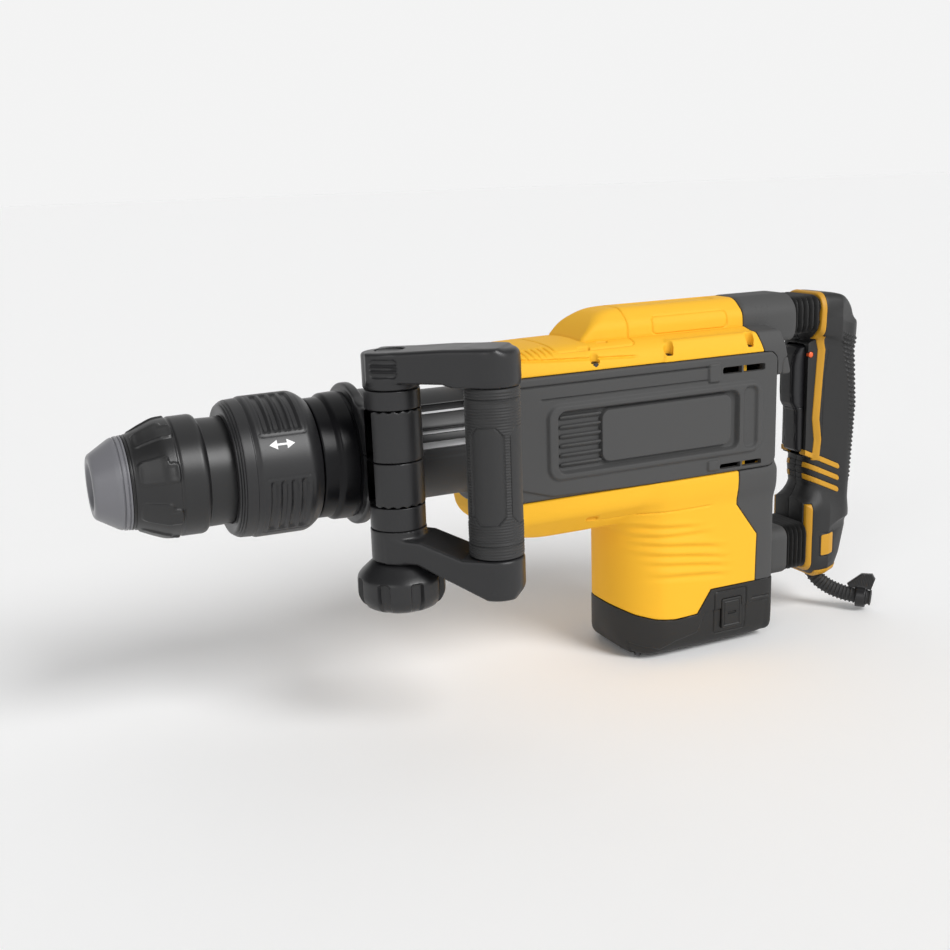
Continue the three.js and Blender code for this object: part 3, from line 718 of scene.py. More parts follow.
def turned(
    name: str,
    profile: Sequence[tuple[float, float, float]],
    finish: Finish,
    relief: Callable[[Array, Array, Array], Array] | None = None,
    spacing: float = 1.0,
    around: int = 192,
    upright: Pair | None = None,
) -> bpy.types.Object:
    """A turned piece: a closed profile swept round an axis, with relief on its surface.

    Args:
        name: the piece's name.
        profile: height, radius and corner radius of each corner, closed on itself.
        finish: its finish.
        relief: change of radius from height, angle and radius.
        spacing: greatest distance between profile points.
        around: points round the axis.
        upright: x and y of an upright axis, or None for the hammer axis.

    Returns:
        The piece.
    """
    outline = np.array(soft_outline(profile, spacing))
    turns = np.linspace(0, 2 * math.pi, around, endpoint=False)
    height, angle = np.meshgrid(outline[:, 0], turns, indexing="ij")
    radius = np.repeat(outline[:, 1:], around, 1)
    if relief is not None:
        radius = radius + relief(height, angle, radius)
    across, rise = radius * np.cos(angle), radius * np.sin(angle)
    if upright is None:
        points = np.stack([height, -across, rise], -1)
    else:
        points = np.stack([upright[0] + across, upright[1] + rise, height], -1)
    rows = len(outline)
    i, j = np.meshgrid(np.arange(rows), np.arange(around), indexing="ij")
    i2, j2 = (i + 1) % rows, (j + 1) % around
    corners = [i * around + j, i2 * around + j, i2 * around + j2, i * around + j2]
    quads = np.stack(corners, -1).reshape(-1, 4)
    made = mesh_object(name, points.reshape(-1, 3), quads)
    face_out(made)
    log.info("%s: %d faces", name, len(made.data.polygons))
    return shaded(made, finish)


def face_out(made: bpy.types.Object) -> None:
    """Turns every face of a closed mesh outwards.

    Args:
        made: the object.
    """
    work = bmesh.new()
    work.from_mesh(made.data)
    bmesh.ops.remove_doubles(work, verts=work.verts, dist=1e-7)
    bmesh.ops.recalc_face_normals(work, faces=work.faces)
    if work.calc_volume(signed=True) < 0:
        bmesh.ops.reverse_faces(work, faces=work.faces)
    work.to_mesh(made.data)
    work.free()


def ridden(
    made: bpy.types.Object, body: str, finish: Finish, *nodes: str
) -> bpy.types.Object:
    """Puts a finished piece on its body, in place of the nodes it stands for.

    Args:
        made: the piece.
        body: the body it rides on.
        finish: its finish; not used.
        nodes: the nodes it replaces.

    Returns:
        The piece.
    """
    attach(made, body)
    if nodes:
        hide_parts(*nodes)
    return made


# ---------------------------------------------------------------- geometry nodes
class Tree:
    """A geometry node tree under construction, with named inputs."""

    def __init__(self, name: str) -> None:
        """Starts a tree with a geometry input and output.

        Args:
            name: the tree's name.
        """
        self.group = bpy.data.node_groups.new(name, "GeometryNodeTree")
        face = self.group.interface
        face.new_socket("Geometry", in_out="INPUT", socket_type="NodeSocketGeometry")
        face.new_socket("Geometry", in_out="OUTPUT", socket_type="NodeSocketGeometry")
        self.start = self.group.nodes.new("NodeGroupInput")
        self.end = self.group.nodes.new("NodeGroupOutput")

    def size(self, name: str, kind: str = "Float") -> bpy.types.NodeSocket:
        """Adds a named input.

        Args:
            name: the input's name.
            kind: Float, Int, Vector or Material.

        Returns:
            The socket to link from.
        """
        socket = self.group.interface.new_socket(
            name, in_out="INPUT", socket_type="NodeSocket" + kind
        )
        return next(s for s in self.start.outputs if s.identifier == socket.identifier)

    def node(self, kind: str, **inputs: object) -> bpy.types.Node:
        """Adds a node and fills or links its inputs.

        Args:
            kind: the node's type, without its GeometryNode prefix.
            inputs: values or sockets by input name, with _ for each space.

        Returns:
            The node.
        """
        prefix = "" if kind.startswith(("Function", "Shader")) else "GeometryNode"
        made = self.group.nodes.new(prefix + kind)
        for name, value in inputs.items():
            socket = next(s for s in made.inputs if s.name == name.replace("_", " ") and s.enabled)
            if isinstance(value, bpy.types.NodeSocket):
                self.group.links.new(value, socket)
            else:
                socket.default_value = value
        return made

    def close(self, geometry: bpy.types.NodeSocket) -> bpy.types.NodeTree:
        """Ends the tree in Realize Instances and Set Material.

        Args:
            geometry: the finished geometry.

        Returns:
            The tree.
        """
        real = self.node("RealizeInstances", Geometry=geometry)
        dressed = self.node(
            "SetMaterial", Geometry=real.outputs[0], Material=self.size("Material", "Material")
        )
        self.group.links.new(dressed.outputs[0], self.end.inputs[0])
        return self.group


def grown(host: bpy.types.Object, tree: bpy.types.NodeTree, sizes: dict) -> bpy.types.Object:
    """Runs a tree on an object and keeps the result as plain mesh.

    Args:
        host: the object the tree starts from.
        tree: the tree.
        sizes: values by input name.

    Returns:
        The object, with no modifier.
    """
    work = host.modifiers.new("grow", "NODES")
    work.node_group = tree
    for item in tree.interface.items_tree:
        if item.in_out == "INPUT" and item.name in sizes:
            work[item.identifier] = sizes[item.name]
    return frozen(host)


def row_tree() -> bpy.types.NodeTree:
    """Tree that repeats its geometry along a straight line.

    Returns:
        The node group.
    """
    made = bpy.data.node_groups.get("row")
    if made:
        return made
    tree = Tree("row")
    line = tree.node(
        "MeshLine",
        Count=tree.size("Count", "Int"),
        Start_Location=(0.0, 0.0, 0.0),
        Offset=tree.size("Step", "Vector"),
    )
    spread = tree.node(
        "InstanceOnPoints", Points=line.outputs[0], Instance=tree.start.outputs["Geometry"]
    )
    return tree.close(spread.outputs[0])


def ring_tree() -> bpy.types.NodeTree:
    """Tree that threads flexible rings and a sleeve on its curve, for a cable guard.

    Returns:
        The node group.
    """
    tree = Tree("guard_rings")
    count = tree.size("Count", "Int")
    sleeve = tree.size("Sleeve radius")
    ring = tree.size("Ring radius")
    wire = tree.size("Ring thickness")
    path = tree.start.outputs["Geometry"]
    spots = tree.node("CurveToPoints", Curve=path, Count=count)
    circle = tree.node("CurvePrimitiveCircle", Resolution=28, Radius=ring)
    section = tree.node("CurvePrimitiveCircle", Resolution=10, Radius=wire)
    hoop = tree.node("CurveToMesh", Curve=circle.outputs[0], Profile_Curve=section.outputs[0])
    rings = tree.node(
        "InstanceOnPoints",
        Points=spots.outputs["Points"],
        Instance=hoop.outputs[0],
        Rotation=spots.outputs["Rotation"],
    )
    bore = tree.node("CurvePrimitiveCircle", Resolution=28, Radius=sleeve)
    tube = tree.node(
        "CurveToMesh", Curve=path, Profile_Curve=bore.outputs[0], Fill_Caps=True
    )
    both = tree.node("JoinGeometry")
    tree.group.links.new(rings.outputs[0], both.inputs[0])
    tree.group.links.new(tube.outputs[0], both.inputs[0])
    smooth = tree.node("SetShadeSmooth", Geometry=both.outputs[0])
    return tree.close(smooth.outputs[0])


def screw_tree() -> bpy.types.NodeTree:
    """Tree that sets a socket-head screw at each point, facing the point's own direction.

    Returns:
        The node group.
    """
    tree = Tree("socket_screws")
    radius = tree.size("Head radius")
    bore = tree.size("Socket radius")
    deep = tree.size("Depth")
    wall = tree.node("CurvePrimitiveCircle", Resolution=28, Radius=radius)
    edge = tree.node("CurvePrimitiveCircle", Resolution=8, Radius=tree.size("Rim"))
    rim = tree.node("CurveToMesh", Curve=wall.outputs[0], Profile_Curve=edge.outputs[0])
    plug = tree.node("MeshCylinder", Vertices=28, Radius=radius, Depth=deep)
    hexagon = tree.node("MeshCylinder", Vertices=6, Radius=bore, Depth=deep)
    face = tree.node("MeshBoolean", Mesh_1=plug.outputs["Mesh"])
    raised = tree.node("Transform", Geometry=hexagon.outputs["Mesh"], Translation=(0, 0, 0.0012))
    tree.group.links.new(raised.outputs[0], face.inputs["Mesh 2"])
    head = tree.node("JoinGeometry")
    tree.group.links.new(rim.outputs[0], head.inputs[0])
    tree.group.links.new(face.outputs["Mesh"], head.inputs[0])
    facing = tree.node("InputNamedAttribute")
    facing.data_type = "FLOAT_VECTOR"
    facing.inputs["Name"].default_value = "facing"
    turn = tree.node("FunctionNodeAlignRotationToVector")
    turn.axis = "Z"
    tree.group.links.new(facing.outputs["Attribute"], turn.inputs["Vector"])
    placed = tree.node(
        "InstanceOnPoints",
        Points=tree.start.outputs["Geometry"],
        Instance=head.outputs[0],
        Rotation=turn.outputs[0],
    )
    return tree.close(placed.outputs[0])


def coil_tree() -> bpy.types.NodeTree:
    """Tree that winds a wire spring upwards from the origin and lays it along X.

    Returns:
        The node group.
    """
    tree = Tree("coil")
    radius = tree.size("Radius")
    helix = tree.node(
        "CurveSpiral",
        Resolution=28,
        Rotations=tree.size("Turns"),
        Start_Radius=radius,
        End_Radius=radius,
        Height=tree.size("Length"),
    )
    wire = tree.node("CurvePrimitiveCircle", Resolution=10, Radius=tree.size("Wire radius"))
    wound = tree.node(
        "CurveToMesh", Curve=helix.outputs[0], Profile_Curve=wire.outputs[0], Fill_Caps=True
    )
    laid = tree.node(
        "Transform",
        Geometry=wound.outputs[0],
        Rotation=(0.0, math.pi / 2, 0.0),
        Translation=tree.size("Place", "Vector"),
    )
    return tree.close(laid.outputs[0])


def screws(
    name: str, places: Sequence[tuple[Sequence[float], Sequence[float]]], radius: float = 3.6
) -> bpy.types.Object:
    """Socket-head screws as one piece.

    Args:
        name: the piece's name.
        places: each head's middle and outward direction, in tool-frame millimetres.
        radius: head radius in millimetres.

    Returns:
        The piece.
    """
    host = mesh_object(name, np.array([spot for spot, _ in places], float), [])
    facing = host.data.attributes.new("facing", "FLOAT_VECTOR", "POINT")
    facing.data.foreach_set("vector", np.array([way for _, way in places], float).ravel())
    tree = bpy.data.node_groups.get("socket_screws") or screw_tree()
    grown(host, tree, {
        "Head radius": radius * MM,
        "Socket radius": radius * 0.55 * MM,
        "Depth": 3 * MM,
        "Rim": 0.5 * MM,
        "Material": DARK_STEEL.material(),
    })
    face_out(host)
    return shaded(host, DARK_STEEL, 30)


# ---------------------------------------------------------------- nose
@dataclass
class Nose:
    """Rubber nose cap, locking sleeve and angle ring."""

    pads: int = 8
    pad_middle: float = 20.0
    pad_arc: float = 25.0
    pad_rise: float = 1.3
    groove_blocks: int = 4
    block_middle: float = -27.0
    block_arc: float = 50.0
    grooves: tuple[float, ...] = (120.0, 127.5, 135.0, 142.5)
    groove_width: float = 4.4
    groove_depth: float = 1.7

    def build(self) -> None:
        """Builds and dresses the nose's pieces."""
        self._cap()
        self._sleeve()
        self._ring()
        self._arrow()

    def _cap(self) -> None:
        """The rubber cap with its bevelled mouth and two seam grooves."""
        profile = [
            (24.2, 22.6, 0.3), (7, 22.6, 1), (7, 12.6, 1), (2.6, 15.2, 1.5), (0.2, 17.2, 1),
            (0, 21.4, 1.5), (1.2, 23.4, 1.4), (15.6, 32.4, 2.5), (18.0, 33.4, 1), (18.5, 33.4, 0.2),
            (18.8, 32.6, 0.2), (19.5, 32.6, 0.2), (19.8, 33.9, 0.3), (21.8, 34.1, 0.3),
            (22.1, 33.2, 0.2), (22.6, 33.2, 0.2), (22.9, 34.2, 0.3), (24.2, 34.3, 0.3),
        ]
        # The cap's colour carries a painted highlight for its lit front cone.
        made = turned("nose_cap_rubber", profile, CAP_RUBBER_PAINTED_HIGHLIGHT, spacing=0.9, around=240)
        ridden(made, "holder", CAP_RUBBER_PAINTED_HIGHLIGHT, "nose_cap")

    def _pad_relief(self, height: Array, angle: Array, radius: Array) -> Array:
        """Finger pads standing out of the sleeve's front.

        Args:
            height: distance from the nose.
            angle: angle round the axis.
            radius: radius before the pads.

        Returns:
            Change of radius.
        """
        spacing = 2 * math.pi / self.pads
        turn = (angle - math.radians(self.pad_middle) + spacing / 2) % spacing - spacing / 2
        arc = turn * 42.0
        half = math.radians(self.pad_arc) * 21.0
        wide = rounded_box(height, arc, (30.0, 50.5, -half, half), 3.0)
        narrow = rounded_box(height, arc, (30.0, 57.0, -half, half * 0.45), 3.0)
        pad = smooth_min(wide, narrow, 1.5)
        ease = np.clip((height - 29) / 8, 0, 1) * 0.4 + 0.6
        dish = -0.5 * np.clip(1 - (arc / half) ** 2, 0, 1) * step_up(pad + 2, 3)
        outer = radius > 32
        return np.where(outer, self.pad_rise * ease * step_up(pad, 1.6) + dish, 0)

    def _sleeve(self) -> None:
        """The locking sleeve."""
        profile = [
            (24.6, 31.4, 0.3), (24.6, 34.2, 0.4), (25.6, 34.5, 0.3), (25.8, 33.8, 0.2),
            (26.6, 33.8, 0.2), (26.9, 34.7, 0.4), (28.5, 34.8, 0.8), (48, 43.2, 6), (56, 43.6, 1),
            (57, 43.1, 0.4), (58, 43.1, 0.4), (59, 43.9, 1), (74, 44.2, 2), (76.6, 43, 1.2),
            (77.6, 40.2, 1), (106, 39.8, 0.4), (106, 36.6, 0.3), (84, 36.6, 0.5), (82, 24.2, 0.5),
            (76, 22.7, 0.5), (40, 22.7, 1),
        ]
        made = turned(
            "locking_sleeve", profile, SLEEVE_BLACK, self._pad_relief, spacing=0.95, around=330
        )
        ridden(made, "sleeve", SLEEVE_BLACK, "lock_sleeve")

    def _block_share(self, angle: Array, inset: float) -> Array:
        """Distance in millimetres inside a block of grooves, measured along the ring.

        Args:
            angle: angle round the axis.
            inset: how much smaller the block is made.

        Returns:
            The field, below zero inside a block.
        """
        spacing = 2 * math.pi / self.groove_blocks
        turn = (angle - math.radians(self.block_middle) + spacing / 2) % spacing - spacing / 2
        return (np.abs(turn) - math.radians(self.block_arc) / 2) * 53 + inset

    def _ring_relief(self, height: Array, angle: Array, radius: Array) -> Array:
        """Blocks of finger grooves round the angle ring.

        Args:
            height: distance from the nose.
            angle: angle round the axis.
            radius: radius before the grooves.

        Returns:
            Change of radius.
        """
        along = self._block_share(angle, 0)
        cut = np.zeros_like(height)
        for middle in self.grooves:
            lane = smooth_max(along, np.abs(height - middle) - self.groove_width / 2, 2.5)
            cut = np.maximum(cut, step_up(lane, 1.8))
        frame_line = smooth_max(along - 3.2, np.abs(height - 131.5) - 17.5, 4.0)
        cut = np.maximum(cut, 0.28 * groove(frame_line, 1.6))
        return np.where(radius > 49, -self.groove_depth * cut, 0)

    def _ring(self) -> None:
        """The angle ring with its stepped front lip."""
        profile = [
            (96.4, 40.4, 0.3), (95.6, 47, 0.8), (96.0, 48.4, 0.4), (96.9, 48.9, 0.2),
            (97.2, 48.5, 0.1), (97.6, 49.6, 0.2), (98.5, 50, 0.2), (98.8, 49.6, 0.1),
            (99.2, 50.7, 0.2), (100.2, 51, 0.2), (100.6, 50.6, 0.1), (101, 51.4, 0.4),
            (108.5, 51.9, 0.6), (109, 51.5, 0.2), (109.6, 51.5, 0.2), (112, 53, 1.6),
            (149, 53.4, 3), (153.5, 51.4, 2), (158.6, 47.4, 1), (159, 46, 0.3), (159, 30.6, 0.3),
            (124, 30.6, 1), (122, 40.4, 1),
        ]
        made = turned("locking_ring", profile, NYLON, self._ring_relief, spacing=1.0, around=330)
        ridden(made, "holder", NYLON, "angle_ring")

    def _arrow(self) -> None:
        """A plain white double arrow on the ring's smooth panel."""
        def mark(x: Array, y: Array, z: Array) -> Array:
            """The arrow as a thin skin.

            Args:
                x: distance from the nose.
                y: distance from the middle plane.
                z: height over the axis.

            Returns:
                The field.
            """
            radius = np.hypot(y, z)
            arc = (np.arctan2(z, -y) - math.radians(27)) * 53
            shaft = rounded_box(x, arc, (125, 133, -0.8, 0.8), 0.3)
            heads = [
                polygon(x, arc, [(x0, 0), (x0 + way * 6, -3.6), (x0 + way * 6, 3.6)])
                for x0, way in ((119.5, 1), (138.5, -1))
            ]
            flat = np.minimum(shaft, np.minimum(*heads))
            return np.maximum(flat, span(radius, 52.9, 53.5))

        low, high = (117, -54, 8), (141, -38, 40)
        made = moulded("ring_mark", mark, low, high, 0.25, MARK_WHITE, share=0.35)
        ridden(made, "holder", MARK_WHITE)


# ---------------------------------------------------------------- barrel
@dataclass
class Barrel:
    """Cast barrel: gloss collar in front, slotted neck behind."""

    neck: float = 43.0
    tube: float = 35.3
    slots: tuple[Pair, ...] = ((44.8, 55.9), (22.0, 27.6), (5.8, 13.4))
    slot_front: float = 236.0
    slot_back: float = 288.0

    def build(self) -> None:
        """Builds and dresses the barrel."""
        profile = [
            (160, 34.2, 0.4), (160, 45.2, 1), (161, 46, 0.8), (171, 46.2, 0.5), (174, 48.8, 1.4),
            (186.2, 49.2, 0.8), (186.6, 48.4, 0.3), (190.2, 48.4, 0.6), (190.3, 36, 0.3),
            (175.6, 35.4, 0.3), (175.4, 34.2, 0.3),
        ]
        front = turned("barrel_front", profile, GLOSS_BLACK, spacing=1.0, around=300)
        ridden(front, "body", GLOSS_BLACK, "barrel_casting")
        low, high = (190, -52, -52), (318, 52, 52)
        neck = moulded("barrel_neck", self.neck_field, low, high, 1.1, SATIN_BLACK, share=0.55)
        ridden(neck, "body", SATIN_BLACK, "barrel_casting")

    def neck_field(self, x: Array, y: Array, z: Array) -> Array:
        """The slotted neck and its flange.

        Args:
            x: distance from the nose.
            y: distance from the middle plane.
            z: height over the axis.

        Returns:
            The field.
        """
        radius = np.hypot(y, z)
        angle = np.arctan2(z, np.abs(y))
        tube = smooth_max(span(x, 190.6, 318), radius - self.neck, 1.5)
        flange = smooth_max(span(x, 290, 299.6), radius - 51, 3)
        body = smooth_min(tube, flange, 4)
        for low, high in self.slots:
            half = math.radians(high - low) / 2
            across = (np.abs(angle - math.radians((low + high) / 2)) - half) * radius
            slot = smooth_max(across, span(x, self.slot_front, self.slot_back), 4)
            body = smooth_max(body, -slot, 1.2)
        line = groove((angle + math.radians(2)) * radius, 2.2) * step_up(span(x, 236, 286), 3)
        body = body + 0.8 * line
        return np.maximum(body, self.tube - radius)


# ---------------------------------------------------------------- side handle
@dataclass
class SideHandle:
    """Clamp on the barrel, upright column and swinging D-shaped side handle."""

    x: float = 205.5
    y: float = -70.0
    radius: float = 20.7
    split: float = 8.7
    turn: float = -41.2
    reach: float = 74.4
    grip_radius: float = 20.0
    bolt: float = 5.4
    grip_low: float = -59.3
    grip_high: float = 62.7
    knob_flutes: int = 8
    arm_half: float = 20.4
    band: float = 48.6
    lip: float = 55.0
    bore: float = 43.35

    def build(self) -> None:
        """Builds and dresses the side handle's pieces."""
        self._clamp()
        self._index_rings()
        self._frame()
        self._grip()
        self._cap()
        self._knob()

    def _placed(self) -> Matrix:
        """The handle's own frame: origin on the column, grip along its first axis."""
        turn = Matrix.Rotation(math.radians(self.turn), 4, "Z")
        return Matrix.Translation((self.x, self.y, 0)) @ turn

    def _scallops(self, x: Array, y: Array, teeth: int = 18) -> Array:
        """Index notches round the column, as a height to cut away.

        Args:
            x: first coordinate.
            y: second coordinate.
            teeth: notches in a full turn.

        Returns:
            Notch depth.
        """
        angle = np.arctan2(y - self.y, x - self.x)
        return 0.55 * (1 + np.cos(angle * teeth))

    def _clamp(self) -> None:
        """The two clamp halves."""
        halves = (("clamp_top_half", "clamp_upper", self.split, 46.1, 56.0),
                  ("clamp_bottom_half", "clamp_lower", -24.3, self.split - 0.4, -56.0))
        for name, node, low, high, far in halves:
            upper = far > 0
            shape = self._clamp_field(low, high, upper)
            bottom = low if upper else far
            top = far if upper else high
            box = ((188, -92, bottom), (228, 57, top))
            made = moulded(name, shape, *box, 0.9, NYLON, share=0.6)
            ridden(made, "clamp", NYLON, node)

    def _clamp_field(self, low: float, high: float, upper: bool) -> Field:
        """One clamp half.

        Args:
            low: hub's lower face.
            high: hub's upper face.
            upper: whether this is the upper half.

        Returns:
            The field.
        """
        def shape(x: Array, y: Array, z: Array) -> Array:
            """The half's band, hub and the bridge between them.

            Args:
                x: distance from the nose.
                y: distance from the middle plane.
                z: height over the axis.

            Returns:
                The field.
            """
            about = np.hypot(y, z)
            column = np.hypot(x - self.x, y - self.y)
            half = self.split - z if upper else z - self.split + 0.4
            band = smooth_max(about - self.band, span(x, 190.6, 226), 3)
            lip = smooth_max(about - self.lip, span(x, 190.6, 199), 3)
            ear = smooth_max(span(x, 200, 218), span(y, 40, 61), 3)
            ear = smooth_max(ear, np.abs(z - self.split) - 11.5, 3)
            ring = smooth_max(smooth_min(smooth_min(band, lip, 3), ear, 3), half, 1)
            notch = self._scallops(x, y)
            top = z - high + (notch if upper else 0)
            bottom = low - z + (0 if upper else notch)
            hub = smooth_max(column - self.radius, np.maximum(top, bottom), 1)
            bridge = smooth_max(span(x, self.x - 14, self.x + 15), span(y, self.y, -30), 4)
            bridge = smooth_max(bridge, span(z, low + 1.5, high - 1.5), 4)
            body = smooth_min(smooth_min(ring, bridge, 7), hub, 4)
            body = smooth_max(body, half, 0.8)
            body = np.maximum(body, self.bore - about)
            body = np.maximum(body, self.bolt - column)
            return np.maximum(body, 3.4 - np.hypot(x - 209, y - 54))

        return shape

    def _index_rings(self) -> None:
        """The two rings between clamp and handle."""
        rings = (("upper_index", "upper_index_ring", 46.6, 60.2),
                 ("lower_index", "lower_index_ring", -41.6, -24.8))
        for name, node, low, high in rings:
            profile = [
                (low, self.bolt, 0.3), (low, 20.4, 0.7), (high, 20.4, 0.7), (high, self.bolt, 0.3),
            ]
            made = turned(name, profile, NYLON, spacing=1.5, around=160, upright=(self.x, self.y))
            ridden(made, "side_handle", NYLON, node)

    def _frame(self) -> None:
        """The D-shaped frame: two arms, their hubs, corner domes and the core of the grip."""
        low, high = (-24, -24, -92), (98, 24, 93)
        made = moulded(
            "handle_bow", self._frame_field, low, high, 1.0, NYLON, 0.5, self._placed()
        )
        ridden(made, "side_handle", NYLON, "side_handle_frame")

    def _frame_field(self, u: Array, w: Array, z: Array) -> Array:
        """The handle frame in its own frame.

        Args:
            u: distance from the column towards the grip.
            w: distance sideways.
            z: height.

        Returns:
            The field.
        """
        column = np.hypot(u, w)
        corner = np.hypot(u - self.reach, w)
        top = polygon(u, z, [
            (-12, 66), (44, 65.5), (52, 63), (96, 63), (96, 80), (84, 90.8), (44, 90), (-12, 86.6),
        ])
        beyond = np.where(u > self.reach, corner, np.abs(w)) - self.arm_half
        top = smooth_max(top, beyond, 4)
        dome = smooth_max(corner - 20.6, span(z, 63, 90), 7)
        top = smooth_min(top, dome, 2)
        low = polygon(u, z, [
            (-3, -47), (22, -48.5), (54, -60), (96, -60), (96, -82), (90, -90), (72, -90),
            (20, -66.2), (-3, -66),
        ])
        low = smooth_max(low, beyond, 3)
        hub_top = smooth_max(column - self.radius, span(z, 60.6, 86.4), 2.5)
        hub_low = smooth_max(column - self.radius, span(z, -66, -42), 1.2)
        body = np.minimum(smooth_min(top, hub_top, 2.5), smooth_min(low, hub_low, 2.5))
        core = smooth_max(corner - 15, span(z, -62, 66), 1)
        body = np.minimum(body, core)
        under = np.maximum(span(z, self.grip_low - 0.35, self.grip_high + 0.35), corner - 22)
        body = np.maximum(body, -np.maximum(under, 14.9 - corner))
        recess = rounded_box(u, z, (-8, 12, 70, 83), 3.0)
        for line in (74.5, 78.5):
            recess = np.maximum(recess, 0.8 - np.abs(z - line))
        body = body + 1.4 * step_up(recess, 1.8) * (w < -15)
        body = np.maximum(body, -np.maximum(column - self.bolt, z - 74))
        return np.maximum(body, -np.maximum(column - 11, 73 - z))

    def _grip_relief(self, height: Array, angle: Array, radius: Array) -> Array:
        """Fine ribs, seam rings and chamfered panels on the grip.

        Args:
            height: height over the axis.
            angle: angle round the grip.
            radius: radius before the relief.

        Returns:
            Change of radius.
        """
        turn = angle - math.radians(self.turn)
        ribs = 0.22 * (1 + np.cos(2 * math.pi * height / 2.1))
        quarter = (turn + math.pi / 4) % (math.pi / 2) - math.pi / 4
        arc = quarter * self.grip_radius
        panel = rounded_box(arc, height, (-13.0, 13.0, -34, 36), 1.0)
        panel = np.maximum(panel, (np.abs(arc) + np.abs(height - 1) - 42.0) * 0.707)
        inside = step_up(panel, 1.0)
        flat = 0.25 - 0.0042 * arc * arc
        relief = ribs * (1 - inside) + flat * inside - 0.9 * groove(panel, 1.5)
        for seam in (-49.5, -46.5, 52.5, 55.5):
            relief = relief - 0.7 * groove(height - seam, 1.4)
        return np.where(radius > 18, relief - 0.4, 0)

    def _grip(self) -> None:
        """The rubber grip sleeve."""
        turn = math.radians(self.turn)
        spot = (self.x + self.reach * math.cos(turn), self.y + self.reach * math.sin(turn))
        low, high, outer = self.grip_low, self.grip_high, self.grip_radius
        profile = [(low, 15.3, 0.3), (low, outer, 1.5), (high, outer, 1.5), (high, 15.3, 0.3)]
        made = turned(
            "grip_rubber", profile, GRIP_RUBBER, self._grip_relief, 0.5, 170, upright=spot
        )
        ridden(made, "side_handle", GRIP_RUBBER, "side_grip")

    def _cap(self) -> None:
        """The small cap over the clamp bolt's head."""
        profile = [
            (79.4, 0.01, 0), (79.4, 10.7, 0.4), (85.8, 10.7, 0.8), (86.8, 9.6, 0.5), (86.2, 8, 0.4),
            (86.2, 0.01, 0),
        ]
        spot = (self.x, self.y)
        made = turned("column_cap", profile, NYLON, spacing=1.2, around=120, upright=spot)
        ridden(made, "side_handle", NYLON, "bolt_cap")

    def _knob_relief(self, height: Array, angle: Array, radius: Array) -> Array:
        """Finger recesses round the clamp knob.

        Args:
            height: height over the axis.
            angle: angle round the column.
            radius: radius before the recesses.

        Returns:
            Change of radius.
        """
        spacing = 2 * math.pi / self.knob_flutes
        arc = ((angle + spacing / 2) % spacing - spacing / 2) * 32
        recess = rounded_box(arc, height, (-4.4, 4.4, -108, -79), 2.0)
        return np.where(radius > 20, -3.4 * step_up(recess, 1.8) * (radius - 20) / 12.5, 0)

    def _knob(self) -> None:
        """The clamp knob."""
        profile = [
            (-67.2, 5.4, 0.3), (-67.2, 19, 1), (-69, 22.6, 2), (-75.5, 29.6, 3), (-79, 32.4, 2),
            (-93, 32.6, 3), (-100, 29, 4), (-104.4, 18, 4), (-105, 0.01, 0), (-96, 0.01, 0),
            (-96, 5.4, 0.3),
        ]
        made = turned(
            "knob", profile, NYLON, self._knob_relief, 1.0, 320, upright=(self.x, self.y)
        )
        ridden(made, "knob", NYLON, "clamp_knob")


# ---------------------------------------------------------------- housings
def flank_box(side: int, reach: Pair, out: Pair, heights: Pair) -> tuple[Spot, Spot]:
    """The space one flank's piece stands in.

    Args:
        side: -1 or 1, the flank it is on.
        reach: front and rear end.
        out: nearest and farthest distance from the middle plane.
        heights: lower and upper end.

    Returns:
        Lowest and highest corner.
    """
    near, far = sorted(side * distance for distance in out)
    return (reach[0], near, heights[0]), (reach[1], far, heights[1])


def line_at(x: Array, points: Sequence[Pair]) -> Array:
    """A broken line's height at x."""
    xs, zs = zip(*points)
    return np.interp(x, xs, zs)


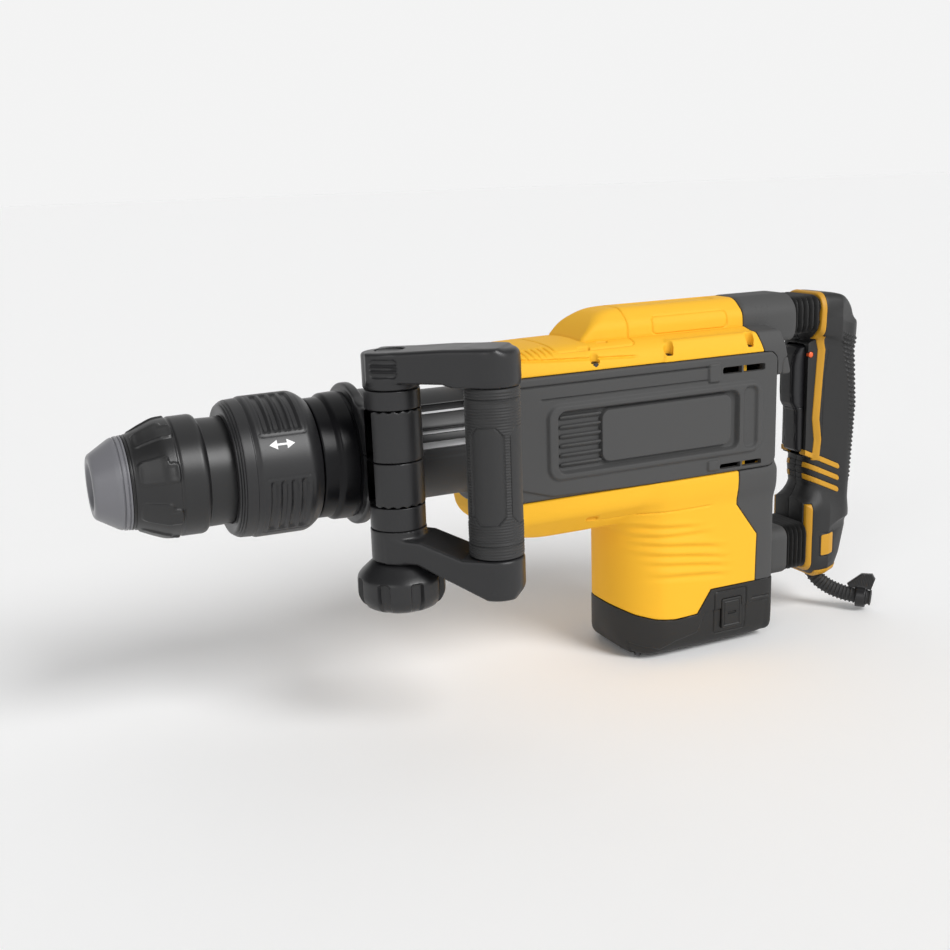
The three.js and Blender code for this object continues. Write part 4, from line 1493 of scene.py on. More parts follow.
@dataclass
class Housings:
    """Gearcase, hump and motor housing: the yellow shells, dark covers and side panels."""

    wall: float = 3.2
    half: float = 52.0
    front: float = 300.0
    back: float = 583.0
    crown: float = 76.0
    hump: float = 95.3
    belly: float = -88.0
    base: float = -206.0
    motor_front: float = 413.0
    cover_top: float = 52.0
    cover_bottom: float = -48.0
    cover_back: float = 563.0
    recess: float = 46.9
    bore: float = 43.3
    screw_row: tuple[float, ...] = (386, 455, 535)
    screw_side: float = 47.4
    flank_line: tuple[Pair, ...] = (
        (549, 52), (549, -48), (524, -48), (524, -78), (546, -108), (545, -151),
    )
    base_line: tuple[Pair, ...] = (
        (498, -151), (484, -171), (462, -172), (444, -170), (430, -166.5), (418, -161), (404, -153),
    )
    ribs: tuple[tuple[Pair, Pair], ...] = (
        ((430, -86), (487, -91)), ((431, -95), (496, -97)), ((433, -102), (509, -112)),
        ((436, -111), (512, -122)), ((442, -120), (514, -130)), ((446, -131), (514, -138)),
    )

    def build(self) -> None:
        """Builds and dresses the housing pieces."""
        self._top()
        self._main()
        self._rear()
        self._base()
        for side, name in ((-1, "left"), (1, "right")):
            self._panel(side, name)
            self._hatch(side, name)
        self._screws()

    # -------------------------------------------------- the closed body
    def envelope(self, x: Array, y: Array, z: Array) -> Array:
        """The whole closed body.

        Args:
            x: distance from the nose.
            y: distance from the middle plane.
            z: height over the axis.

        Returns:
            The field.
        """
        side = np.abs(y)
        section = convex(side, z, [
            (-60, self.belly), (28, self.belly), (self.half, -62), (self.half, 53), (49.6, 61),
            (38, 71.5), (22, self.crown), (-60, self.crown),
        ], 6)
        length = convex(x, z, [
            (self.front, -72), (336, self.belly), (self.back, self.belly), (self.back, 60),
            (565, self.crown), (352, self.crown), (320, 73), (self.front, 64),
        ], 8)
        tail = convex(x, side, [
            (100, -60), (582, -60), (582, 8), (562.5, 52.6), (100, 52.6),
        ], 8)
        case = smooth_max(smooth_max(section, length, 8), tail, 5)
        ledge = smooth_max(
            convex(side, z, [(-60, 30), (51.4, 30), (51.4, 58), (46.5, 69), (-60, 73)], 2.5),
            convex(x, z, [(442, 30), (450, 58), (462, 80), (566, 80), (578, 30)], 3), 2.5,
        )
        hump = smooth_max(
            convex(side, z, [
                (-60, 40), (31, 40), (28.6, 84), (15, self.hump), (-60, self.hump),
            ], 4),
            convex(x, z, [
                (370, 55), (389, 81), (407, 95), (424, 101), (600, 101), (600, 55),
            ], 8), 5,
        )
        plan = smooth_max(np.hypot(np.minimum(x - 468, 0), y) - self.half, tail, 5)
        tall = convex(x, z, [
            (self.motor_front, -50), (self.motor_front, -190), (430, self.base), (560, self.base),
            (577, -192), (581, -50),
        ], 12)
        foot = convex(side, z, [
            (-60, self.base), (43, self.base), (self.half, -190), (self.half, -50), (-60, -50),
        ], 6)
        motor = smooth_max(smooth_max(plan, tall, 5), foot, 5)
        body = smooth_min(case, motor, 10)
        foot_line = groove(hump - smooth_min(body, ledge, 2), 3.0) * (z > 55)
        return smooth_min(smooth_min(body, ledge, 2), hump, 2) + 0.7 * foot_line

    def shell(self, outer: Array) -> Array:
        """A plain wall just inside the closed body."""
        return np.maximum(outer, -outer - self.wall)

    def recessed(self, outer: Array, x: Array, y: Array, z: Array) -> Array:
        """The wall, stepped inwards behind the side panels.

        Args:
            outer: the closed body's field.
            x: distance from the nose.
            y: distance from the middle plane.
            z: height over the axis.

        Returns:
            The field.
        """
        zone = rounded_box(x, z, (200, self.cover_back, self.cover_bottom, self.cover_top), 9)
        pocket = np.maximum(zone, self.recess - np.abs(y))
        room = np.maximum(zone - self.wall, self.recess - self.wall - np.abs(y))
        inside = np.maximum(outer + self.wall, -room)
        return np.maximum(np.maximum(outer, -pocket), -inside)

    def _front_bore(self, body: Array, y: Array, z: Array, x: Array) -> Array:
        """Opens a shell round the barrel's neck."""
        return np.maximum(body, -np.maximum(np.hypot(y, z) - self.bore, x - 330))

    # -------------------------------------------------- yellow shells
    def _top_zone(self, x: Array, z: Array, gap: float) -> Array:
        """Outline of the top cover seen from the side.

        Args:
            x: distance from the nose.
            z: height over the axis.
            gap: clearance to the pieces round it.

        Returns:
            The field.
        """
        return polygon(x, z, [
            (280, self.cover_top + gap), (549 - gap, self.cover_top + gap), (543 - gap, 70),
            (543 - gap, 130), (280, 130),
        ])

    def top_field(self, x: Array, y: Array, z: Array) -> Array:
        """The yellow top cover.

        Args:
            x: distance from the nose.
            y: distance from the middle plane.
            z: height over the axis.

        Returns:
            The field.
        """
        side = np.abs(y)
        outer = self.envelope(x, y, z)
        outer = outer + self._top_relief(x, side, z)
        for middle in self.screw_row:
            well = np.maximum(np.hypot(x - middle, side - self.screw_side) - 3.9, 57.2 - z)
            outer = smooth_max(outer, -well, 0.8)
        body = self.shell(outer)
        body = smooth_max(body, self._top_zone(x, z, 0.15), 1.2)
        return self._front_bore(body, y, z, x)

    def _top_relief(self, x: Array, side: Array, z: Array) -> Array:
        """Creases, louvre lines and slots on the top cover, as a depth.

        Args:
            x: distance from the nose.
            side: distance from the middle plane, always positive.
            z: height over the axis.

        Returns:
            How much the surface is lowered.
        """
        high = step_up(66 - z, 6)
        crease = groove(z - line_at(x, [(300, 66), (343, 63), (421, 59.5)]), 3.4)
        depth = 1.5 * crease * step_up(span(x, 309, 424), 8) * (side > 35)
        for n in range(6):
            start = 321 + n * 5.4
            slant = x - start - (side - 30) * 0.14
            depth = depth + 1.5 * groove(slant, 2.6) * step_up(span(side, 30, 45), 3) * high
        plate = rounded_box(x, side, (354, 428, -60, 41), 5)
        depth = depth + 1.1 * groove(plate, 2.4) * high
        hump_side = rounded_box(x, z, (452, 526, 72.5, 87), 4)
        depth = depth + 0.9 * groove(hump_side, 2.2) * (side > 24)
        for middle, off in ((381, 39), (401, 33)):
            slot = rounded_box(x, side, (middle - 5, middle + 5, off - 1.3, off + 1.3), 1.2)
            depth = depth + 3.5 * step_up(slot, 1.2) * high
        spine = rounded_box(x, side, (440, 528, -60, 10), 6)
        depth = depth + 0.9 * step_up(spine, 2.4) * (z > 88)
        return depth

    def _top(self) -> None:
        """Builds the top cover."""
        low, high = (298, -53, 51), (551, 53, 97)
        made = moulded("top_shell", self.top_field, low, high, 0.85, YELLOW, share=0.5)
        ridden(made, "body", YELLOW, "top_cover")

    def _ribs(self, x: Array, y: Array, z: Array) -> Array:
        """Flowing ledges down the motor housing's front corner, as a depth.

        Args:
            x: distance from the nose.
            y: distance from the middle plane.
            z: height over the axis.

        Returns:
            How much the surface is lowered.
        """
        depth = 0
        for (x0, z0), (x1, z1) in self.ribs:
            share = np.clip((x - x0) / (x1 - x0), 0, 1)
            line = z0 + (z1 - z0) * share**1.3
            below = line - z
            dip = np.exp(-(((below - 2.4) / 2.6) ** 2))
            ledge = dip - 0.5 * np.exp(-(((below + 2.2) / 2.4) ** 2))
            fade = step_up(span(x, x0, x1 - 4), 30) * np.clip((np.abs(y) - 18) / 10, 0, 1)
            depth = depth + 1.5 * ledge * fade
        return depth

    def main_field(self, x: Array, y: Array, z: Array) -> Array:
        """The yellow main housing.

        Args:
            x: distance from the nose.
            y: distance from the middle plane.
            z: height over the axis.

        Returns:
            The field.
        """
        outer = self.envelope(x, y, z)
        low = line_at(x, [(384, -73.5), (400, -74.8), (487, -75)])
        crease = groove(z - low, 2.6) * step_up(span(x, 389, 498), 6)
        hole = step_up(rounded_box(x, z, (379, 390, -73, -69.5), 1.5), 1.4)
        flank = np.abs(y) > 40
        outer = outer + (1.0 * crease + 2.6 * hole) * flank + self._ribs(x, y, z)
        body = self.recessed(outer, x, y, z)
        air = np.maximum(self._vents(x, z) - 1, 3.2 - np.abs(x - 531))
        body = np.maximum(body, -np.maximum(air, 40 - np.abs(y)))
        zone = polygon(x, z, [
            (280, self.cover_top - 0.15), *((a - 0.15, b) for a, b in self.flank_line),
            *self.base_line, (398, -152), (398, -95), (280, -95),
        ])
        zone = np.maximum(zone, z - self.cover_top + 0.15)
        return self._front_bore(smooth_max(body, zone + 0.1, 1.2), y, z, x)

    def _main(self) -> None:
        """Builds the main housing."""
        low, high = (298, -53, -173), (552, 53, 53)
        made = moulded("main_shell", self.main_field, low, high, 1.15, YELLOW, share=0.42)
        ridden(made, "body", YELLOW, "main_housing")

    # -------------------------------------------------- dark covers
    def rear_field(self, x: Array, y: Array, z: Array) -> Array:
        """The dark rear cover with its upper and lower link housings.

        Args:
            x: distance from the nose.
            y: distance from the middle plane.
            z: height over the axis.

        Returns:
            The field.
        """
        side = np.abs(y)
        outer = self.envelope(x, y, z)
        seam = groove(rounded_box(x, z, (568, 640, -110, 46), 8), 2.2) * (side > 20)
        outer = outer + 0.9 * seam
        body = self.recessed(outer, x, y, z)
        upper = smooth_max(convex(side, z, [
            (-40, 57), (24, 57), (28.4, 63), (28.4, 84), (19, 94.2), (-40, 95),
        ], 6), span(x, 546, 600), 2.4)
        lower = smooth_max(rounded_box(y, z, (-28.4, 28.4, -160.5, -116.5), 10),
                           span(x, 570, 598), 2.4)
        for middle in (556, 562, 568):
            upper = upper + 0.9 * groove(x - middle - (z - 80) * 0.25, 2.0) * (z < 88) * (z > 66)
        body = smooth_min(body, np.maximum(upper, -outer - 3), 3)
        body = smooth_min(body, np.maximum(lower, -outer - 3), 5)
        rooms = np.minimum(
            np.maximum(rounded_box(y, z, (-24, 24, 61, 89.5), 8), x - 594),
            np.maximum(rounded_box(y, z, (-24, 24, -156, -121), 7), x - 592),
        )
        body = np.maximum(body, -rooms)
        holes = np.minimum(np.hypot(y, z - 75), np.hypot(y, z + 138)) - 9
        body = np.maximum(body, -np.maximum(holes, 575 - x))
        zone = polygon(x, z, [
            (543.3, 130), (543.3, 70), *((a + 0.15, b) for a, b in self.flank_line),
            (545.2, -215), (640, -215), (640, 130),
        ])
        body = smooth_max(body, zone, 1.0)
        behind = span(x, 500, 566.2)
        return np.maximum(body, -np.maximum(behind, z + 150.8))

    def _rear(self) -> None:
        """Builds the rear cover."""
        low, high = (522, -53, -207), (601, 53, 97)
        made = moulded("rear_shell", self.rear_field, low, high, 1.0, CHARCOAL, share=0.5)
        ridden(made, "body", CHARCOAL, "rear_cover")

    def base_field(self, x: Array, y: Array, z: Array) -> Array:
        """The dark base cap.

        Args:
            x: distance from the nose.
            y: distance from the middle plane.
            z: height over the axis.

        Returns:
            The field.
        """
        side = np.abs(y)
        outer = self.envelope(x, y, z)
        rise = line_at(x, [(404, -186), (448, -197), (462, -191.5), (484, -187), (492, -170)])
        lower = np.clip((rise - z) / 1.6, 0, 1) * step_up(span(x, 402, 560), 8)
        outer = outer + 1.2 * lower * (side > 30) - 0.5
        hatch = rounded_box(x, z, (502, 535.5, -193.5, -154.5), 3)
        outer = outer + 0.9 * groove(hatch, 2.0) * (side > 40)
        for line in (-170.5, -166.5):
            lane = smooth_max(np.abs(z - line) - 0.7, span(x, 541, 560), 0.5)
            outer = outer + 0.9 * step_up(lane, 1.2) * (side > 40)
        body = self.shell(outer)
        zone = polygon(x, z, [
            (565.8, -150.8), (565.8, -215), (390, -215), (390, -151),
            *((a, b - 0.3) for a, b in reversed(self.base_line)), (499, -151.2),
        ])
        body = smooth_max(body, zone, 1.0)
        window = rounded_box(x, z, (508.8, 530.2, -189.2, -161.8), 2)
        return np.maximum(body, -np.maximum(window, 30 - side))

    def _base(self) -> None:
        """Builds the base cap."""
        low, high = (398, -53, -208), (567, 53, -150)
        made = moulded("base_shell", self.base_field, low, high, 0.95, CHARCOAL_DARK, share=0.55)
        ridden(made, "body", CHARCOAL_DARK, "base_cap")

    def _hatch(self, side: int, name: str) -> None:
        """A brush cover in the base cap's window.

        Args:
            side: -1 or 1, the flank it is on.
            name: left or right.
        """
        def plate(x: Array, y: Array, z: Array) -> Array:
            """The cover with its coin slot.

            Args:
                x: distance from the nose.
                y: distance from the middle plane.
                z: height over the axis.

            Returns:
                The field.
            """
            flat = rounded_box(x, z, (509.1, 529.9, -188.9, -162.1), 1.8)
            out = y * side
            slot = rounded_box(x, z, (515, 524, -176.6, -174.4), 0.9)
            top = out - 51.6 + 1.4 * step_up(slot, 1.0) + 0.5 * groove(flat + 2.6, 1.4)
            return np.maximum(smooth_max(flat, top, 1.2), 46.5 - out)

        low, high = flank_box(side, (508, 531), (46, 54), (-190, -161))
        made = moulded(f"{name}_hatch", plate, low, high, 0.5, CHARCOAL_DARK, share=0.6)
        ridden(made, "body", CHARCOAL_DARK, f"{name}_brush_cover")

    # -------------------------------------------------- side panels
    def panel_height(self, x: Array, z: Array) -> Array:
        """How far a side panel stands out of its flat.

        Args:
            x: distance from the nose.
            z: height over the axis.

        Returns:
            Height in millimetres.
        """
        frame = rounded_box(x, z, (340, 546, -32, 28), 11)
        field_edge = rounded_box(x, z, (349, 521, -26.5, 22.5), 7)
        valley = rounded_box(x, z, (527, 540, -28, 24), 5)
        badge = rounded_box(x, z, (388, 514, -22.5, 20.5), 8)
        rise = 2.4 * step_up(frame, 3.6)
        rise = rise - 5.0 * step_up(field_edge, 3.0) + 4.4 * step_up(badge, 1.8)
        rise = rise - 2.8 * step_up(valley, 3.4)
        rise = rise - 1.7 * groove(z - 44.5, 2.4) * step_up(span(x, 300, 492), 4)
        rise = rise - 1.3 * groove(z - 33.5, 2.2) * step_up(span(x, 335, 491), 4)
        low_edge = line_at(x, [(306, -31), (317, -36), (344, -44), (524, -49.5), (563, -52)])
        rise = rise - 1.9 * np.clip((low_edge - z) / 1.6, 0, 1)
        for low, high in ((31.5, 47), (-44, -35)):
            rise = rise + 2.0 * step_up(rounded_box(x, z, (491, 502.5, low, high), 2), 2.2)
        return rise

    def _vents(self, x: Array, z: Array) -> Array:
        """The air slots through a side panel.

        Args:
            x: distance from the nose.
            z: height over the axis.

        Returns:
            The field.
        """
        upper = rounded_box(x, z, (506, 549, 37, 42.6), 1.6)
        lower = rounded_box(x, z, (504, 547, -44.2, -39.8), 1.6)
        return np.maximum(np.minimum(upper, lower), 1.0 - np.abs(x - 526))

    def _panel(self, side: int, name: str) -> None:
        """One side panel.

        Args:
            side: -1 or 1, the flank it is on.
            name: left or right.
        """
        def plate(x: Array, y: Array, z: Array) -> Array:
            """The panel: square in front, rounded behind.

            Args:
                x: distance from the nose.
                y: distance from the middle plane.
                z: height over the axis.

            Returns:
                The field.
            """
            out = y * side
            rounded = rounded_box(x, z, (306, 562.7, -47.7, 51.7), 9)
            square = np.maximum(306 - x, np.abs(z - 2) - 49.7)
            edge = np.where(x < 330, square, rounded)
            face = out - self.half - 0.4 - self.panel_height(x, z)
            body = smooth_max(edge, face, 2.4)
            return np.maximum(np.maximum(body, 47.2 - out), -self._vents(x, z))

        low, high = flank_box(side, (305, 564), (47, 55), (-49, 53))
        made = moulded(f"{name}_side_panel", plate, low, high, 0.75, CHARCOAL, share=0.5)
        ridden(made, "body", CHARCOAL, f"{name}_panel")
        self._badge(side, name)
        self._slats(side, name)

    def _badge(self, side: int, name: str) -> None:
        """The blank satin badge plate in a side panel.

        Args:
            side: -1 or 1, the flank it is on.
            name: left or right.
        """
        def plate(x: Array, y: Array, z: Array) -> Array:
            """The plate with a faint line round its edge.

            Args:
                x: distance from the nose.
                y: distance from the middle plane.
                z: height over the axis.

            Returns:
                The field.
            """
            out = y * side
            flat = rounded_box(x, z, (391.5, 510.5, -19, 17), 6)
            slope = groove(flat + 3.2, 1.2) * 0.4
            return np.maximum(smooth_max(flat, out - 54.1 + slope, 0.8), 53.0 - out)

        low, high = flank_box(side, (391, 512), (52.5, 55), (-20, 18))
        made = moulded(f"{name}_badge", plate, low, high, 0.6, NYLON, share=0.4)
        ridden(made, "body", NYLON)

    def _slats(self, side: int, name: str) -> None:
        """Slanted slats in front of a badge, repeated down the panel.

        Args:
            side: -1 or 1, the flank it is on.
            name: left or right.
        """
        count = 6
        pitch = 7.6
        profile = [(-1, -2.8, 0.5), (2.6, 0.6, 0.7), (2.6, 2.0, 0.7), (-1, 2.6, 0.5)]
        slat = soft_outline(profile, 0.8)
        points = []
        for x in (351.5, 353.5, 388.0, 389.0):
            shrink = 0.6 if x in (351.5, 389.0) else 1.0
            points += [(x, side * (50.0 + out * shrink), -21 + up * shrink) for out, up in slat]
        rows, ring = 4, len(slat)
        faces = [
            (i * ring + j, i * ring + (j + 1) % ring, (i + 1) * ring + (j + 1) % ring,
             (i + 1) * ring + j)
            for i in range(rows - 1) for j in range(ring)
        ]
        faces += [tuple(range(ring)), tuple(range((rows - 1) * ring, rows * ring))]
        host = mesh_object(f"{name}_slats", np.array(points), faces)
        grown(host, row_tree(), {
            "Count": count, "Step": (0, 0, pitch * MM), "Material": CHARCOAL.material(),
        })
        face_out(host)
        ridden(shaded(host, CHARCOAL), "body", CHARCOAL)

    def _screws(self) -> None:
        """The housing's screws: top cover wells and the base."""
        places = []
        for side in (-1, 1):
            for x in self.screw_row:
                places.append(((x, side * self.screw_side, 56.6), (0, side * 0.2, 1)))
        for y in (-30, 30):
            for x in (436, 544):
                places.append(((x, y, -204.6), (0, 0, -1)))
        made = screws("housing_screws", places, 2.8)
        ridden(made, "body", DARK_STEEL)


# ---------------------------------------------------------------- rear handle
@dataclass
class RearHandle:
    """Sprung rear D-handle with its trigger, inlays, gaiters and cable guard."""

    half: float = 20.0
    wall: float = 3.2
    upper_z: float = 75.0
    lower_z: float = -138.0
    trigger_half: float = 11.7
    stripes: tuple[float, ...] = (-50.0, -61.0, -72.0)
    stripe_height: float = 5.0
    exit_x: float = 650.0
    light: Pair = (627.5, 38.0)
    rear_line: tuple[Pair, ...] = (
        (-130, 687.5), (-119, 683.5), (-80, 685), (-12, 689), (40, 685), (58, 686),
    )
    front_line: tuple[Pair, ...] = (
        (-100, 625), (-92, 626), (-84, 629), (-69, 627), (-41, 630.5), (-21, 626.5), (15, 628),
        (42, 631), (51, 628), (60, 622),
    )
    top_flank: tuple[Pair, ...] = ((628, 27.5), (655, 25.5), (684, 8), (690, -6))
    low_flank: tuple[Pair, ...] = ((620, 27), (648, 25.5), (684, 8), (690, -6))
    trigger_line: tuple[Pair, ...] = (
        (-54, 624), (-50, 620), (-14, 619), (-6, 614.4), (4, 613.6), (28, 613.6), (38, 616),
        (44, 620), (46, 626),
    )

    def build(self) -> None:
        """Builds and dresses the rear handle's pieces."""
        self._shells()
        self._inlays()
        self._trigger()
        self._light()
        self._gaiters()
        self._springs()
        self._guard()
        self._clip()

    # -------------------------------------------------- the moulded form
    def form(self, x: Array, y: Array, z: Array) -> Array:
        """The handle's closed outer form.

        Args:
            x: distance from the nose.
            y: distance from the middle plane.
            z: height over the axis.

        Returns:
            The field.
        """
        side = np.abs(y)
        rear, front = line_at(z, self.rear_line), line_at(z, self.front_line)
        grip = np.maximum(front - x, x - rear + 9 * (side / self.half) ** 1.6)
        middle, depth = (front + rear) / 2, (rear - front) / 2
        across = np.abs((x - middle) / depth)
        round_side = side - self.half * np.sqrt(np.clip(1.18 - across**2.6 * 0.62, 0.05, 1))
        grip = smooth_max(smooth_max(grip, round_side, 9), span(z, -118, 62), 2)
        top = convex(x, z, [
            (629, 57.5), (684, 47), (687.5, 57), (681.5, 77), (668, 88), (650, 94.3), (629, 93.2),
        ], 8)
        top = smooth_max(top, side - line_at(x, self.top_flank), 6)
        top = smooth_max(top, side + z * 0.8 - 96, 8)
        low = polygon(x, z, [
            (621, -99), (640, -96), (684, -112), (687.5, -131), (676, -158), (663.5, -172),
            (636, -172), (621, -160),
        ])
        low = smooth_max(low, side - line_at(x, self.low_flank), 13)
        body = smooth_min(smooth_min(grip, top, 10), low, 12)
        lip = np.maximum(rounded_box(x, z, (624.5, 640, -57, 50), 4), side - 16.6)
        return np.maximum(smooth_min(body, lip, 2), 621 - x)

    def _scales(self, x: Array, y: Array, z: Array) -> Array:
        """Scale-like bumps on the rear of the grip, as a height.

        Args:
            x: distance from the nose.
            y: distance from the middle plane.
            z: height over the axis.

        Returns:
            Height in millimetres.
        """
        patch = polygon(x, z, [
            (657, 57), (682, 50), (700, 50), (700, -84), (676, -84), (673, -40), (669, 10),
        ])
        slant_a = (z + x * 0.35) / 4.2
        slant_b = (z - x * 1.1 + np.abs(y) * 0.9) / 6.4
        bump = np.clip(np.sin(np.pi * 2 * slant_a) + 0.6 * np.sin(np.pi * 2 * slant_b), -0.4, 1.2)
        return 0.8 * bump * step_up(patch, 2.5)

    def _relief(self, x: Array, y: Array, z: Array) -> Array:
        """Everything that stands out of or into the handle's form, as a depth.

        Args:
            x: distance from the nose.
            y: distance from the middle plane.
            z: height over the axis.

        Returns:
            How much the surface is lowered.
        """
        lines = 0.5 * groove((z + 94) % 2.6 - 1.3, 1.6)
        lines = lines * step_up(rounded_box(x, z, (672, 700, -104, -87), 2), 2)
        edge = groove(x - line_at(z, [(-100, 640), (-41, 640), (20, 641), (50, 646)]), 1.4)
        edge = 0.6 * edge * step_up(span(z, -48, 44), 4) * (np.abs(y) > 8)
        cap = 0.8 * groove(self._upper_band(x, z), 1.6) + 0.8 * groove(self._lower_band(x, z), 1.6)
        patch = rounded_box(x, z, (637, 657, -152, -129), 3)
        cap = cap + 0.7 * groove(patch, 1.5) * (np.abs(y) > 15)
        for middle in self.stripes:
            cap = cap + 0.7 * groove(self._stripe(x, z, middle), 1.3)
        return lines + edge + cap - self._scales(x, y, z)

    def _upper_band(self, x: Array, z: Array) -> Array:
        """Outline of the yellow band round the handle's top block."""
        return np.maximum(span(x - (z - 75) * 0.06, 630.2, 635.4), 52 - z)

    def _lower_band(self, x: Array, z: Array) -> Array:
        """Outline of the yellow band round the handle's lower block."""
        return np.maximum(span(x, 622.2, 627.8), z + 100)

    def _strip(self, x: Array, z: Array) -> Array:
        """Outline of the yellow strip down the front of the grip."""
        rear = line_at(z, [(-60, 638), (-41, 640), (-21, 637), (15, 639), (42, 641), (56, 637)])
        return np.maximum(np.abs(x - rear + 3.2) - 3.2, span(z, -60, 57))

    def _stripe(self, x: Array, z: Array, middle: float) -> Array:
        """Outline of one slanted stripe with rounded ends.

        Args:
            x: distance from the nose.
            z: height over the axis.
            middle: height of its middle line at x 620.

        Returns:
            The field.
        """
        along = x - 612
        across = z - middle + (x - 620) * 0.46
        half = self.stripe_height / 2
        return rounded_box(along, across, (0, 50, -half, half), half - 0.1)

    def _from_light(self, x: Array, z: Array) -> Array:
        """Distance from the power light's middle, seen from the side."""
        return np.hypot(x - self.light[0], z - self.light[1])

    def _from_rods(self, y: Array, z: Array) -> Array:
        """Distance from the nearer guide rod's axis."""
        return np.minimum(np.hypot(y, z - self.upper_z), np.hypot(y, z - self.lower_z))

    def shell_field(self, side: int) -> Field:
        """One half of the handle's shell.

        Args:
            side: -1 or 1.

        Returns:
            The field.
        """
        def shape(x: Array, y: Array, z: Array) -> Array:
            """The half's wall with its openings.

            Args:
                x: distance from the nose.
                y: distance from the middle plane.
                z: height over the axis.

            Returns:
                The field.
            """
            outer = self.form(x, y, z)
            outer = outer + self._relief(x, y, z)
            body = np.maximum(outer, -outer - self.wall)
            slot = np.maximum(rounded_box(y, z, (-12.2, 12.2, -56, 47), 3), x - 650)
            body = smooth_max(body, -slot, 0.8)
            body = np.maximum(body, -np.maximum(self._from_rods(y, z) - 9, x - 634))
            exit_hole = np.maximum(np.hypot(x - self.exit_x, y) - 9.5, z + 160)
            body = np.maximum(body, -exit_hole)
            body = np.maximum(body, np.minimum(2.9 - self._from_light(x, z), -y))
            return smooth_max(body, 0.15 - y * side, 0.5)

        return shape

    def _shells(self) -> None:
        """The two handle halves."""
        for side, name in ((-1, "left"), (1, "right")):
            low, high = flank_box(side, (620, 690), (0, 28), (-173, 96))
            made = moulded(
                f"handle_{name}", self.shell_field(side), low, high, 0.85, HANDLE_BLACK, share=0.6
            )
            ridden(made, "rear_handle", HANDLE_BLACK, f"rear_handle_{name}")

    def _inlay_field(self, region: Outline, keep: Field) -> Field:
        """A thin skin, a hair proud of the handle's form.

        Args:
            region: the inlay's outline seen from the side.
            keep: what the skin keeps clear of.

        Returns:
            The inlay's field.
        """
        def shape(x: Array, y: Array, z: Array) -> Array:
            """The skin inside the outline.

            Args:
                x: distance from the nose.
                y: distance from the middle plane.
                z: height over the axis.

            Returns:
                The field.
            """
            outer = self.form(x, y, z)
            skin = np.maximum(outer - 0.45, -outer - 1.6)
            return np.maximum(smooth_max(skin, region(x, z), 0.6), keep(x, y, z))

        return shape

    def _stripe_rows(self, x: Array, z: Array) -> Array:
        """Outline of all the slanted stripes."""
        return np.minimum.reduce([self._stripe(x, z, middle) for middle in self.stripes])

    def _foot_marks(self, x: Array, z: Array) -> Array:
        """Outline of the mark under the handle and the square on its flanks.

        Args:
            x: distance from the nose.
            z: height over the axis.

        Returns:
            The field.
        """
        bottom = np.maximum(z + 164.5, span(x, 633, 667))
        square = rounded_box(x, z, (638.5, 655.5, -150.5, -130.5), 2)
        return np.minimum(bottom, square)

    def _inlays(self) -> None:
        """The yellow inlays, each with what it keeps clear of."""
        def rods(x: Array, y: Array, z: Array) -> Array:
            """The guide rods."""
            return 12 - self._from_rods(y, z)

        def slot(x: Array, y: Array, z: Array) -> Array:
            """The trigger's slot."""
            return 12.6 - np.abs(y)

        def cable(x: Array, y: Array, z: Array) -> Array:
            """The cable's way out."""
            return 10.5 - np.hypot(x - self.exit_x, y)

        def middle(x: Array, y: Array, z: Array) -> Array:
            """The middle plane."""
            return 9.0 - np.abs(y)

        plan = (
            ("upper_band", self._upper_band, rods, (630, -29, 50), (642, 29, 96), 0.6),
            ("lower_band", self._lower_band, rods, (620, -28, -172), (633, 28, -98), 0.6),
            ("grip_strip", self._strip, slot, (624, -23, -62), (643, 23, 60), 0.55),
            ("grip_stripes", self._stripe_rows, middle, (610, -23, -102), (664, 23, -50), 0.55),
            ("foot_marks", self._foot_marks, cable, (631, -28, -174), (669, 28, -128), 0.6),
        )
        for name, region, keep, low, high, step in plan:
            shape = self._inlay_field(region, keep)
            made = moulded(name, shape, low, high, step, YELLOW_INLAY, share=0.5)
            ridden(made, "rear_handle", YELLOW_INLAY)

    def _trigger(self) -> None:
        """The trigger."""
        def shape(x: Array, y: Array, z: Array) -> Array:
            """The long lever with a step under the finger.

            Args:
                x: distance from the nose.
                y: distance from the middle plane.
                z: height over the axis.

            Returns:
                The field.
            """
            front = line_at(z, self.trigger_line)
            body = smooth_max(np.maximum(front - x, x - 637), np.abs(y) - self.trigger_half, 6)
            body = smooth_max(body, span(z, -53, 46), 2)
            line = groove(z + 11, 1.6) + groove(np.abs(y) - 7.4, 1.2) * (x < 622)
            return body + 0.5 * line

        low, high = (612, -13, -54), (638, 13, 47)
        made = moulded("trigger_lever", shape, low, high, 0.7, TRIGGER_BLACK, share=0.6)
        ridden(made, "trigger", TRIGGER_BLACK, "trigger")

    def _light(self) -> None:
        """The small domed power light."""
        def shape(x: Array, y: Array, z: Array) -> Array:
            """The lens, domed outwards.

            Args:
                x: distance from the nose.
                y: distance from the middle plane.
                z: height over the axis.

            Returns:
                The field.
            """
            about = self._from_light(x, z)
            face = -y - 17.6 + about * about * 0.12
            return np.maximum(np.maximum(about - 2.5, face), y + 13.4)

        low, high = (624.5, -18.5, 35), (630.5, -13, 41)
        made = moulded("power_lens", shape, low, high, 0.3, AMBER, share=0.6)
        ridden(made, "rear_handle", AMBER, "power_light")

    # -------------------------------------------------- gaiters and springs
    def _gaiters(self) -> None:
        """The folded rubber gaiters, stretched between housing and handle."""
        spans = (
            ("upper_gaiter", "upper_bellows", 600.4, 629.5, 58.0, 92.0, 5),
            ("lower_gaiter", "lower_bellows", 598.4, 623.0, -160.0, -117.0, 5),
        )
        for name, node, start, end, low, high, folds in spans:
            self._gaiter(name, node, (start, end), (low, high), folds)

